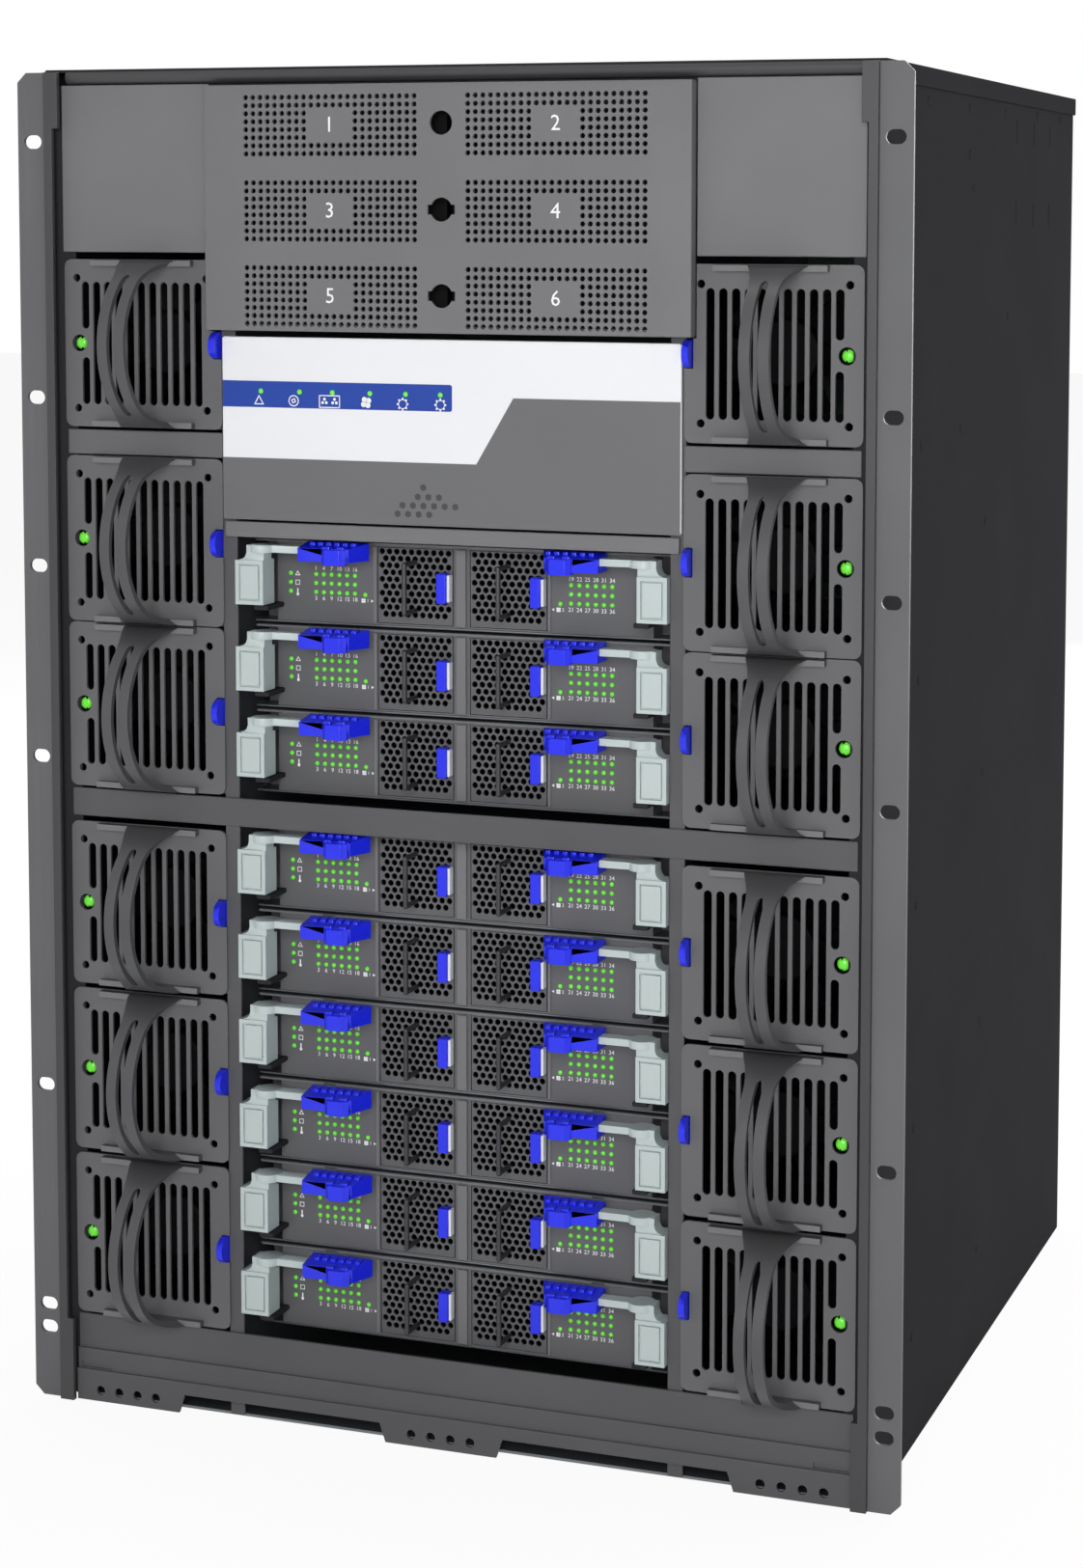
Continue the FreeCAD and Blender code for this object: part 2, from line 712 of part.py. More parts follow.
# Latch: a blue thumb tab that comes through the plate's inner edge and runs back along the duct
latch = body("fan_latch")
side = sketch(latch, "YZ_Plane", "duct_wide / 2")
thumb = [("latch_long", "latch_radius"), ("latch_long", "-latch_radius")]
THUMB_FACETS = 6
for index in range(THUMB_FACETS + 1):
    turn = math.pi * index / THUMB_FACETS
    reach = "-latch_proud - %.6f * latch_radius" % math.sin(turn)
    thumb.append((reach, "-%.6f * latch_radius" % math.cos(turn)))
outline(side, thumb)
pad(latch, side, "latch_thick")

# Duct: a square sheet tube behind the plate, with a strut across it that carries the motor
duct_outer = box("duct_outer", ("-duct_wide / 2", "sheet", "-duct_tall / 2"),
                 ("duct_wide", "duct_long", "duct_tall"))
duct_inner = box("duct_inner", ("duct_wall - duct_wide / 2", "0", "duct_wall - duct_tall / 2"),
                 ("duct_wide - 2 * duct_wall", "duct_long + 2 * sheet", "duct_tall - 2 * duct_wall"))
strut = box("motor_strut", ("-duct_wide / 2", "rotor_y + hub_long + seat_gap", "-strut_wide / 2"),
            ("duct_wide", "strut_thick", "strut_wide"))
duct = fuse("fan_duct", [cut("duct_tube", duct_outer, duct_inner), strut])

# Rotor: a hub with four pitched blades
hub = doc.addObject("Part::Prism", "rotor_hub")
hub.Polygon = 6
bind(hub, "Circumradius", "hub_radius")
bind(hub, "Height", "hub_long")
hub.Placement.Rotation = FreeCAD.Rotation(X_AXIS, -90)
place(hub, "0", "rotor_y", "0")
blades = []
BLADES = 4
half_chord = "blade_chord / 2 * cos(blade_pitch)"
for index in range(BLADES):
    blade = box("blade", ("0", "0", "0"), ("blade_chord", "blade_thick", "rotor_radius"))
    turn = 2 * math.pi * index / BLADES
    spin = FreeCAD.Rotation(Y_AXIS, math.degrees(turn))
    blade.Placement.Rotation = spin * FreeCAD.Rotation(Z_AXIS, number("blade_pitch"))
    place(blade, "-%.6f * %s" % (math.cos(turn), half_chord),
          "rotor_y + hub_long / 2 - blade_chord / 2 * sin(blade_pitch)",
          "%.6f * %s" % (math.sin(turn), half_chord))
    blades.append(blade)
rotor = fuse("fan_rotor", [hub] + blades)

# Handle: a strap bent to a half circle, wide at its feet and narrow at the slotted grip
ARCH_SIDES = 16
WAIST_SIDES = 12
arch_parts = []
for name, radius in (("arch_outer", "handle_radius"), ("arch_inner", "handle_radius - handle_thick")):
    arch = doc.addObject("Part::Prism", name)
    arch.Polygon = ARCH_SIDES
    bind(arch, "Circumradius", radius)
    bind(arch, "Height", "handle_foot")
    arch.Placement.Rotation = FreeCAD.Rotation(Y_AXIS, 90)
    arch_parts.append(place(arch, "-handle_foot / 2", "0", "0"))
hoop = cut("hoop", *arch_parts)
rear_half = box("hoop_rear", ("-handle_foot", "0", "-2 * handle_radius"),
                ("2 * handle_foot", "2 * handle_radius", "4 * handle_radius"))
strap = cut("strap", hoop, rear_half)
waist_z = "handle_radius - waist_lip - waist_radius"
waist_cuts = []
for side, edge in ((1, "grip_x + grip_wide / 2"), (-1, "grip_x - grip_wide / 2")):
    outer = "%s + %d * handle_foot" % (edge, side)
    near = edge if side > 0 else outer
    middle = "%s + %d * waist_radius" % (edge, side)
    waist_cuts.append(box("waist_long", (near, "-handle_radius - handle_thick", "-(%s)" % waist_z),
                          ("handle_foot", "handle_radius + handle_thick", "2 * (%s)" % waist_z)))
    near = middle if side > 0 else outer
    waist_cuts.append(box("waist_wide", (near, "-handle_radius - handle_thick", "waist_lip - handle_radius"),
                          ("handle_foot - waist_radius", "handle_radius + handle_thick",
                           "2 * handle_radius - 2 * waist_lip")))
    for level in (waist_z, "-(%s)" % waist_z):
        bend = doc.addObject("Part::Prism", "waist_bend")
        bend.Polygon = WAIST_SIDES
        bind(bend, "Circumradius", "waist_radius")
        bind(bend, "Height", "handle_radius + handle_thick")
        bend.Placement.Rotation = FreeCAD.Rotation(X_AXIS, 90)
        waist_cuts.append(place(bend, middle, "0", level))
grip_corner = ("grip_x - grip_slot / 2", "-handle_radius - handle_thick", "-grip_slot_tall / 2")
waist_cuts.append(box("grip_opening", grip_corner,
                      ("grip_slot", "handle_radius + handle_thick", "grip_slot_tall")))
handle = cut("fan_handle", strap, fuse("handle_cuts", waist_cuts))

# The top drawers' plates are relieved at the inner corner, where the supply cover stands
relief_x = "fan_x - cover_half - blank_gap"
relief_z = "cover_z - blank_gap - fan_1_z"
relief = box("corner_relief", (relief_x, "-sheet", relief_z),
             ("fan_wide - (%s)" % relief_x, "3 * sheet", "fan_tall"))
top_plate = cut("top_fan_plate", plate, relief)

for index, level in enumerate(FANS, 1):
    face_plate = top_plate if index == 1 else plate
    common = [handle, duct, rotor]
    node("fan_drawer_left_%d" % index, common + [face_plate, latch], "-fan_x", "plate_front", level)
    other_hand = [mirrored("plate_mirror", face_plate), mirrored("latch_mirror", latch)]
    node("fan_drawer_right_%d" % index, common + other_hand, "fan_x", "plate_front", level)

# Spine module. Its frame has the face panel's front at zero and the tray's underside at zero height.
tray = [box("tray_floor", ("-spine_half", "0", "0"), ("2 * spine_half", "spine_long", "spine_sheet"))]
for left in ("spine_half - spine_sheet", "-spine_half"):
    tray.append(box("tray_side", (left, "face_deep", "spine_sheet"),
                    ("spine_sheet", "spine_long - face_deep", "spine_tall - 2 * spine_sheet")))

# Face: a bent panel at each side, and a post, a sill and a head around the two fan windows
panel = body("spine_panel")
plan = sketch(panel, "XY_Plane", "spine_sheet")
shoulder = "spine_half - spine_sheet"
outline(plan, [
    ("fan_hole_outer", "0"),
    ("face_half", "0"),
    ("face_half", "face_deep"),
    (shoulder, "face_deep"),
    (shoulder, "face_deep + spine_sheet"),
    ("face_half - spine_sheet", "face_deep + spine_sheet"),
    ("face_half - spine_sheet", "spine_sheet"),
    ("fan_hole_outer", "spine_sheet"),
])
pad(panel, plan, "spine_tall - 2 * spine_sheet")
face_pieces = [panel, mirrored("spine_panel_left", panel)]
for level in ("spine_sheet", "spine_tall - fan_hole_edge"):
    face_pieces.append(box("window_edge", ("-fan_hole_outer", "0", level),
                           ("2 * fan_hole_outer", "spine_sheet", "fan_hole_edge - spine_sheet")))
face_pieces.append(box("window_post", ("-fan_hole_inner", "0", "fan_hole_edge"),
                       ("2 * fan_hole_inner", "spine_sheet", "spine_tall - 2 * fan_hole_edge")))

lid = box("spine_lid", ("-spine_half", "0", "spine_tall - spine_sheet"),
          ("2 * spine_half", "spine_long", "spine_sheet"))
board = box("spine_board", ("spine_sheet - spine_half", "board_front", "board_z"),
            ("2 * spine_half - 2 * spine_sheet", "spine_long - board_front", "board_thick"))
connector = box("spine_connector",
                ("-connector_wide / 2", "spine_long - connector_long", "board_z + board_thick"),
                ("connector_wide", "connector_long", "connector_tall"))

# Pivot bracket: stands on the tray, reaches under the lever and carries the lever's upright pin
PIN_SIDES = 8
riser = box("bracket_riser", ("face_half", "0", "spine_sheet"),
            ("pivot_x + bracket_wide / 2 - face_half", "face_deep", "bracket_z + bracket_thick - spine_sheet"))
tongue = box("bracket_tongue", ("pivot_x - bracket_wide / 2", "-bracket_long", "bracket_z"),
             ("bracket_wide", "bracket_long", "bracket_thick"))
pin = doc.addObject("Part::Prism", "pivot_pin")
pin.Polygon = PIN_SIDES
bind(pin, "Circumradius", "pin_radius")
bind(pin, "Height", "pin_tall")
place(pin, "pivot_x", "-pivot_y", "bracket_z + bracket_thick")
bracket = fuse("pivot_bracket", [riser, tongue, pin])
spine_pieces = tray + face_pieces + [lid, board, connector, bracket, mirrored("bracket_left", bracket)]

# Ejector lever for the right side: a casting with a square block, a neck and an arm
casting = body("lever_casting")
block = sketch(casting, "XY_Plane", "block_z")
outline(block, rectangle("block_inner", "-block_front", "block_outer", "block_deep - block_front"))
block_pad = pad(casting, block, "block_tall")
doc.recompute()
bevel = casting.newObject("PartDesign::Chamfer", "block_edges")
block_middle = number("(block_inner + block_outer) / 2")
bevel.Base = (block_pad, edges_along(block_pad.Shape, Z_AXIS, lambda point: point.x > block_middle))
bind(bevel, "Size", "block_bevel")
arm_outer = "pivot_x + arm_round"
arm_front = "-pivot_y - arm_round"
arm_rear = "arm_round - pivot_y"
neck = sketch(casting, "XY_Plane", "block_z + block_tall")
outline(neck, rectangle("block_inner", arm_front, arm_outer, arm_rear))
pad(casting, neck, "arm_z - block_z - block_tall")
arm = sketch(casting, "XY_Plane", "arm_z")
outline(arm, rectangle("arm_end", arm_front, arm_outer, arm_rear))
arm_pad = pad(casting, arm, "arm_thick")
doc.recompute()
neck_foot = number("block_z + block_tall")
pivot_line = number("-pivot_y")
turned_end = casting.newObject("PartDesign::Fillet", "arm_turned_end")
turned_end.Base = (arm_pad, edges_along(
    arm_pad.Shape, Z_AXIS,
    lambda point: point.x > number("pivot_x") and point.y < pivot_line and point.z > neck_foot))
bind(turned_end, "Radius", "arm_round")
field = sketch(casting, "XZ_Plane", "block_front")
outline(field, rectangle("block_inner + block_rim", "block_z + block_rim",
                         "block_outer - block_rim", "block_z + block_tall - block_rim"))
pocket(casting, field, "block_recess")
bore = sketch(casting, "XY_Plane", "block_z")
bore_radius = "(pin_radius + pin_gap) / %.6f" % math.cos(math.pi / PIN_SIDES)
ring(bore, "pivot_x", "-pivot_y", bore_radius, PIN_SIDES)
pocket(casting, bore, "pin_tall + pin_gap", backwards=True)

# Grip: a blue moulding on the arm's inner end, with a thumb nose at the front
grip = body("lever_grip")
plan = sketch(grip, "XY_Plane", "grip_z")
outline(plan, [
    ("grip_outer", "-grip_face"),
    ("grip_outer", "-grip_back"),
    ("grip_inner", "-grip_back"),
    ("grip_nose_inner", "-grip_nose"),
    ("grip_nose_outer", "-grip_nose"),
    ("grip_shoulder", "-grip_face"),
])
pad(grip, plan, "grip_tall")
socket = sketch(grip, "XY_Plane", "arm_z")
outline(socket, rectangle("arm_end", arm_front, "2 * grip_outer", arm_rear))
pocket(grip, socket, "arm_thick", backwards=True)
levers = {"right": [casting, grip], "left": [mirrored("casting_left", casting), mirrored("grip_left", grip)]}

# Spine fan: a cell with a plain grille face, a wire handle and a blue latch at its right edge
cell_z = "fan_hole_edge + seat_gap"
cell_wide = "cell_outer - cell_inner"
cell_tall = "spine_tall - 2 * fan_hole_edge - 2 * seat_gap"


def spine_fan(name, x):
    """One fan cell whose left side is at x, with its handle and latch."""
    outer = box(name + "_outer", (x, "0", cell_z), (cell_wide, "cell_long", cell_tall))
    inner = box(name + "_inner", (x + " + cell_wall", "cell_wall", cell_z + " + cell_wall"),
                (cell_wide + " - 2 * cell_wall", "cell_long", cell_tall + " - 2 * cell_wall"))
    middle = "%s + (%s) / 2" % (x, cell_wide)
    height = "%s + (%s) / 2" % (cell_z, cell_tall)
    wire = []
    for index in (1, -1):
        wire.append(box(name + "_leg", (middle + " - wire_thick / 2", "wire_thick / 2 - wire_reach",
                                        "%s + %d * wire_half - wire_thick / 2" % (height, index)),
                        ("wire_thick", "wire_reach - wire_thick / 2", "wire_thick")))
    wire.append(box(name + "_bar", (middle + " - wire_thick / 2", "-wire_reach - wire_thick / 2",
                                    height + " - wire_half - wire_thick / 2"),
                    ("wire_thick", "wire_thick", "2 * wire_half + wire_thick")))
    tab_corner = (x + " + " + cell_wide + " - tab_wide", "-tab_deep", height + " - tab_tall / 2")
    latch_tab = box(name + "_latch", tab_corner, ("tab_wide", "tab_deep", "tab_tall"))
    return [cut(name, outer, inner)] + wire + [latch_tab]


spine_fan_pair = spine_fan("right_cell", "cell_inner") + spine_fan("left_cell", "-cell_outer")

for index, level in enumerate(SPINES, 1):
    node("spine_%d" % index, spine_pieces, "0", "spine_front", level)
    node("spine_fans_%d" % index, spine_fan_pair, "0", "spine_front", level)
    for side, pieces in levers.items():
        node("lever_%s_%d" % (side, index), pieces, "0", "spine_front", level)

doc.recompute()

for obj in doc.Objects:
    if "Invalid" in obj.State or "Error" in obj.State:
        raise RuntimeError("failed object: " + obj.Name)
for obj in NODES:
    if obj.Shape.isNull() or not obj.Shape.isValid() or not obj.Shape.Solids:
        raise RuntimeError("bad shape: " + obj.Label)

os.makedirs("parts", exist_ok=True)
for obj in NODES:
    obj.Shape.exportStep("parts/%s.step" % obj.Label)
print("nodes", len(NODES), "solids", sum(len(obj.Shape.Solids) for obj in NODES))
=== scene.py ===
import math

import bpy
from mathutils import Matrix, Vector


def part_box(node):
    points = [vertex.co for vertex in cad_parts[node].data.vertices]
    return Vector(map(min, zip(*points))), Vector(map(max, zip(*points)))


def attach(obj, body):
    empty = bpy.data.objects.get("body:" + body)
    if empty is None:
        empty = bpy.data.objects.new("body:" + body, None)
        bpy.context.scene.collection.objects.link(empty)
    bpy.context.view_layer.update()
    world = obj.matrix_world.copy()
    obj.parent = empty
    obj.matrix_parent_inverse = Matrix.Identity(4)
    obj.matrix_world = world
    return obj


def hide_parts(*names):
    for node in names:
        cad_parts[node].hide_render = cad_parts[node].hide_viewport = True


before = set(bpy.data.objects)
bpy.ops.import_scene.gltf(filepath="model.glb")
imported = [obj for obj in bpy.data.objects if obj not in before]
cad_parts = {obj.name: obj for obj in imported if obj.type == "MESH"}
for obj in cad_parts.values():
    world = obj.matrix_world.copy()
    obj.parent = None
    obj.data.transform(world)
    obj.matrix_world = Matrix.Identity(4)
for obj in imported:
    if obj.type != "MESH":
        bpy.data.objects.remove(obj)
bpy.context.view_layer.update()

# Studio: a white paper floor that runs into a white surround.
# The camera, mirrors and glass see both at full white, while the object gets only a dim even light from them.
MM = 0.001
SKY_LIGHT = 0.12
FLOOR = {"size": 24.0, "below": 0.0003, "glow": 0.93}
scene = bpy.context.scene
scene.view_settings.view_transform = "Standard"


def srgb(code):
    """A hex colour as it is seen, turned to linear light."""
    parts = [int(code[index:index + 2], 16) / 255 for index in (1, 3, 5)]
    linear = [part / 12.92 if part <= 0.04045 else ((part + 0.055) / 1.055) ** 2.4 for part in parts]
    return (*linear, 1.0)


def add(tree, kind, settings=None, values=None, links=None):
    """A shader node with its settings, its socket values and the sockets that feed it."""
    made = tree.nodes.new(kind)
    for key, value in (settings or {}).items():
        setattr(made, key, value)
    for key, value in (values or {}).items():
        made.inputs[key].default_value = value
    for key, source in (links or {}).items():
        tree.links.new(source, made.inputs[key])
    return made


def seen_directly(tree):
    """A socket that is 1 for rays from the camera, a mirror or glass, and 0 for light on the object."""
    path = add(tree, "ShaderNodeLightPath")
    straight = add(tree, "ShaderNodeMath", {"operation": "MAXIMUM"},
                   links={0: path.outputs["Is Camera Ray"], 1: path.outputs["Is Transmission Ray"]})
    return add(tree, "ShaderNodeMath", {"operation": "MAXIMUM"},
               links={0: straight.outputs[0], 1: path.outputs["Is Glossy Ray"]}).outputs[0]


surround = bpy.data.worlds.new("white_surround")
surround.use_nodes = True
scene.world = surround
tree = surround.node_tree
tree.nodes.clear()
dim = add(tree, "ShaderNodeBackground", values={"Color": srgb("#ffffff"), "Strength": SKY_LIGHT})
white = add(tree, "ShaderNodeBackground", values={"Color": srgb("#ffffff"), "Strength": 1.0})
sky = add(tree, "ShaderNodeMixShader", links={0: seen_directly(tree), 1: dim.outputs[0], 2: white.outputs[0]})
add(tree, "ShaderNodeOutputWorld", links={"Surface": sky.outputs[0]})

bpy.ops.object.select_all(action="DESELECT")
bpy.ops.mesh.primitive_plane_add(size=FLOOR["size"], location=(0, 0, -FLOOR["below"]))
floor = bpy.context.object
floor.name = "studio_floor"
# matt white paper: it glows where it is seen, but keeps a little of the object's shadow
paper = bpy.data.materials.new("white_paper")
paper.use_nodes = True
tree = paper.node_tree
tree.nodes.clear()
matte = add(tree, "ShaderNodeBsdfDiffuse", values={"Color": srgb("#f4f4f4")})
glow = add(tree, "ShaderNodeEmission", values={"Color": srgb("#ffffff"), "Strength": 1.0})
share = add(tree, "ShaderNodeMath", {"operation": "MULTIPLY"}, {1: FLOOR["glow"]}, {0: seen_directly(tree)})
ground = add(tree, "ShaderNodeMixShader",
             links={0: share.outputs[0], 1: matte.outputs[0], 2: glow.outputs[0]})
add(tree, "ShaderNodeOutputMaterial", links={"Surface": ground.outputs[0]})
floor.data.materials.append(paper)

# Camera: it stands where the photograph was taken from, to the right and near the height of the top.
# Its place, its three directions and its focal length in pixels were solved from the rack ears' slots.
IMAGE = (1122, 1625)
FOCAL_PIXELS = 3109.57
AXIS_PIXEL = (729.19, 503.0)
SENSOR = 36.0
CAMERA_PLACE = (0.599268, -1.383243, 0.626584)
CAMERA_RIGHT = Vector((0.94840025, 0.31704552, 0.00437056))
CAMERA_DOWN = Vector((0.03055627, -0.07766791, -0.99651092))
CAMERA_AHEAD = Vector((-0.31559987, 0.94522475, -0.08334799))
ear_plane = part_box("side_wall_right")[0].y
camera_data = bpy.data.cameras.new("studio_camera")
camera_data.sensor_fit = "VERTICAL"
camera_data.sensor_height = SENSOR
camera_data.lens = FOCAL_PIXELS / IMAGE[1] * SENSOR
camera_data.shift_x = (IMAGE[0] / 2 - AXIS_PIXEL[0]) / IMAGE[1]
camera_data.shift_y = (AXIS_PIXEL[1] - IMAGE[1] / 2) / IMAGE[1]
camera_data.clip_end = 100.0
camera = bpy.data.objects.new("studio_camera", camera_data)
scene.collection.objects.link(camera)
camera.matrix_world = Matrix((
    (CAMERA_RIGHT.x, -CAMERA_DOWN.x, -CAMERA_AHEAD.x, CAMERA_PLACE[0]),
    (CAMERA_RIGHT.y, -CAMERA_DOWN.y, -CAMERA_AHEAD.y, ear_plane + CAMERA_PLACE[1]),
    (CAMERA_RIGHT.z, -CAMERA_DOWN.z, -CAMERA_AHEAD.z, CAMERA_PLACE[2]),
    (0, 0, 0, 1),
))
scene.camera = camera

# Lamps: a soft box in front gives the main light, and two weak ones fill its shadows from the sides.
# One hangs above for the top, and three stand behind for the rear and the two walls.
LAMPS = {
    "soft_box_front": {"at": (0.5, -1.95, 0.82), "aim": (0.0, -0.2, 0.42), "size": 0.9, "watts": 25.5},
    "soft_box_left": {"at": (-1.9, -1.5, 0.9), "aim": (0.0, -0.2, 0.35), "size": 1.2, "watts": 5.0},
    "soft_box_right": {"at": (1.7, -1.7, 0.9), "aim": (0.1, -0.1, 0.4), "size": 1.2, "watts": 2.5},
    "soft_box_top": {"at": (0.0, 0.35, 2.3), "aim": (0.0, 0.1, 0.71), "size": 1.4, "watts": 18.0},
    "soft_box_rear": {"at": (0.4, 2.6, 1.0), "aim": (0.0, 0.2, 0.35), "size": 1.6, "watts": 75.0},
    "soft_box_rear_left": {"at": (-2.4, 1.0, 1.0), "aim": (-0.2, 0.0, 0.35), "size": 1.6, "watts": 32.0},
    "soft_box_rear_right": {"at": (2.4, 1.0, 1.0), "aim": (0.2, 0.0, 0.35), "size": 1.6, "watts": 32.0},
}
for name, lamp in LAMPS.items():
    light = bpy.data.lights.new(name, "AREA")
    light.size = lamp["size"]
    light.energy = lamp["watts"]
    holder = bpy.data.objects.new(name, light)
    scene.collection.objects.link(holder)
    holder.location = lamp["at"]
    direction = Vector(lamp["aim"]) - Vector(lamp["at"])
    holder.rotation_euler = direction.to_track_quat("-Z", "Y").to_euler()

# Side walls: two tall sheets of powder-coated steel, punched and bent on a press brake, drawn near-black as
# painted shade although they carry the ears' grey paint.
# Each front edge turns outwards into a grey rack ear with seven slots; rivets hold the cage inside.
wall_low, wall_high = (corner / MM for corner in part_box("side_wall_right"))
SHEET = 1.5
WALL_OUTER = 225.5
WALL_VENTS = {"y": (293.5, 338.5, 381.5), "z": (685.0, 639.0), "wide": 2.2, "tall": 13.0}
EAR = {"thick": 2.0, "corner": 5.0}
EAR_SLOT = {"x": 232.55, "long": 10.2, "wide": 7.1}
EAR_SLOT_Z = (38.1, 50.8, 171.45, 349.25, 450.85, 539.75, 673.1)
RIVET = {"radius": 2.6, "tip": 1.9, "high": 0.7}
# distance behind the ear's front and height of each rivet
RIVET_PLACES = ((89.1, 693.6), (178.3, 693.8), (263.4, 694.1), (346.8, 695.7), (409.9, 695.8), (179.5, 669.5),
                (189.2, 651.8), (274.8, 581.3), (164.9, 524.2), (80.8, 520.5), (80.8, 402.0), (80.8, 286.0),
                (80.8, 170.0), (80.8, 60.0), (225.0, 470.0), (225.0, 330.0), (225.0, 190.0), (225.0, 60.0))
# how far a cutter reaches past the sheet that it cuts, and the length of one that runs right through
PAST = 5.0
THROUGH = 20.0


def start():
    """Leave edit mode and select nothing."""
    if bpy.context.object and bpy.context.object.mode == "EDIT":
        bpy.ops.object.mode_set(mode="OBJECT")
    bpy.ops.object.select_all(action="DESELECT")


def pick(obj):
    """Select one object alone and make it the active one."""
    start()
    obj.select_set(True)
    bpy.context.view_layer.objects.active = obj
    return obj


def settle(obj):
    """Write an object's place, turn and scale into its mesh."""
    pick(obj)
    bpy.ops.object.transform_apply(location=True, rotation=True, scale=True)
    return obj


def block(name, low, high):
    """A block between two opposite corners in millimetres, which may come in any order."""
    start()
    ends = [sorted(pair) for pair in zip(low, high)]
    bpy.ops.mesh.primitive_cube_add(size=1, location=[(a + b) / 2 * MM for a, b in ends])
    bpy.context.object.name = name
    bpy.context.object.scale = [(b - a) * MM for a, b in ends]
    return settle(bpy.context.object)


def rod(name, centre, radius, length, axis="Y", sides=24, tip=None):
    """A round bar along an axis, or a cone when its far end has another radius."""
    start()
    turn = {"X": (0, math.pi / 2, 0), "Y": (math.pi / 2, 0, 0), "Z": (0, 0, 0)}[axis]
    bpy.ops.mesh.primitive_cone_add(vertices=sides, radius1=radius * MM, depth=length * MM, rotation=turn,
                                    radius2=(radius if tip is None else tip) * MM,
                                    location=[value * MM for value in centre])
    bpy.context.object.name = name
    return settle(bpy.context.object)


def join(name, parts):
    """Several objects as one mesh."""
    start()
    for part in parts:
        part.select_set(True)
    bpy.context.view_layer.objects.active = parts[0]
    if len(parts) > 1:
        bpy.ops.object.join()
    parts[0].name = name
    return parts[0]


def combine(obj, tool, operation="DIFFERENCE"):
    """Cut a tool out of an object, or add it, and drop the tool."""
    pick(obj)
    step = obj.modifiers.new("combine", "BOOLEAN")
    step.operation = operation
    step.object = tool
    bpy.ops.object.modifier_apply(modifier=step.name)
    bpy.data.objects.remove(tool)
    return obj


def round_edges(obj, axis, radius, steps=6, keep=None):
    """Round the straight edges that run along an axis, all of them or those that pass a test."""
    pick(obj)
    index = "XYZ".index(axis)
    corners = obj.data.vertices
    for face in obj.data.polygons:
        face.select = False
    for corner in corners:
        corner.select = False
    for edge in obj.data.edges:
        a, b = (corners[item].co for item in edge.vertices)
        run = (b - a).normalized()
        edge.select = abs(run[index]) > 0.999 and (keep is None or keep((a + b) / 2 / MM))
    bpy.context.tool_settings.mesh_select_mode = (False, True, False)
    bpy.ops.object.mode_set(mode="EDIT")
    bpy.ops.mesh.bevel(offset=radius * MM, segments=steps, affect="EDGES")
    bpy.ops.object.mode_set(mode="OBJECT")
    return obj


SHARP_ANGLE = math.radians(40)
SMOOTH_ANGLE = math.radians(32)


def soften(obj, edge, steps=1):
    """Break the sharp edges and shade the round faces smooth."""
    pick(obj)
    bevel = obj.modifiers.new("edges", "BEVEL")
    bevel.width = edge * MM
    bevel.segments = steps
    bevel.limit_method = "ANGLE"
    bevel.angle_limit = SHARP_ANGLE
    bpy.ops.object.modifier_apply(modifier=bevel.name)
    bpy.ops.object.shade_smooth_by_angle(angle=SMOOTH_ANGLE)
    if steps > 1:
        flats = obj.modifiers.new("flats", "WEIGHTED_NORMAL")
        flats.keep_sharp = True
        bpy.ops.object.modifier_apply(modifier=flats.name)
    return obj


def capsule(name, centre, wide, tall, deep, along="Z"):
    """A slot-shaped plug with half-round ends that runs through a sheet along Y."""
    x, y, z = centre
    across, up = (wide / 2, tall / 2) if along == "Z" else (tall / 2, wide / 2)
    plug = block(name, (x - across, y - deep / 2, z - up), (x + across, y + deep / 2, z + up))
    return round_edges(plug, "Y", wide * 0.499, steps=5)


COAT_PATCH = 70.0
COAT_GLOSS_DRIFT = 0.08
COAT_RELIEF = 0.5


def coat(name, colour, grain, depth, rough, metal=0.0, shine=0.5, spread=0.12):
    """A coated or moulded surface: fine grain in relief, and colour and gloss that drift a little.

    The grain, its depth and the patches of the drift are in millimetres.
    """
    made = bpy.data.materials.new(name)
    made.use_nodes = True
    tree = made.node_tree
    tree.nodes.clear()
    place = add(tree, "ShaderNodeTexCoord").outputs["Object"]
    fine = add(tree, "ShaderNodeTexNoise", values={"Scale": 1 / (grain * MM), "Detail": 2.0},
               links={"Vector": place})
    broad = add(tree, "ShaderNodeTexNoise", values={"Scale": 1 / (COAT_PATCH * MM), "Detail": 3.0},
                links={"Vector": place})
    drift = add(tree, "ShaderNodeMapRange", values={"To Min": 1 - spread, "To Max": 1 + spread},
                links={"Value": broad.outputs["Fac"]})
    tint = add(tree, "ShaderNodeVectorMath", {"operation": "SCALE"}, {0: srgb(colour)[:3]},
               {"Scale": drift.outputs[0]})
    gloss = add(tree, "ShaderNodeMapRange",
                values={"To Min": rough - COAT_GLOSS_DRIFT, "To Max": rough + COAT_GLOSS_DRIFT},
                links={"Value": fine.outputs["Fac"]})
    relief = add(tree, "ShaderNodeBump", values={"Strength": COAT_RELIEF, "Distance": depth * MM},
                 links={"Height": fine.outputs["Fac"]})
    surface = add(tree, "ShaderNodeBsdfPrincipled", values={"Metallic": metal, "Specular IOR Level": shine},
                  links={"Base Color": tint.outputs[0], "Roughness": gloss.outputs[0],
                         "Normal": relief.outputs[0]})
    add(tree, "ShaderNodeOutputMaterial", links={"Surface": surface.outputs[0]})
    return made


def dress(obj, material, node, body="chassis"):
    """Give a finished piece its material, hang it on its body and let it stand for its node."""
    obj.data.materials.clear()
    obj.data.materials.append(material)
    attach(obj, body)
    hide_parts(node)
    return obj


def place_copy(obj, name, x=0, y=0, z=0):
    """A copy of a piece, with its own mesh, moved by millimetres."""
    twin = obj.copy()
    twin.data = obj.data.copy()
    twin.name = name
    scene.collection.objects.link(twin)
    twin.data.transform(Matrix.Translation((x * MM, y * MM, z * MM)))
    return twin


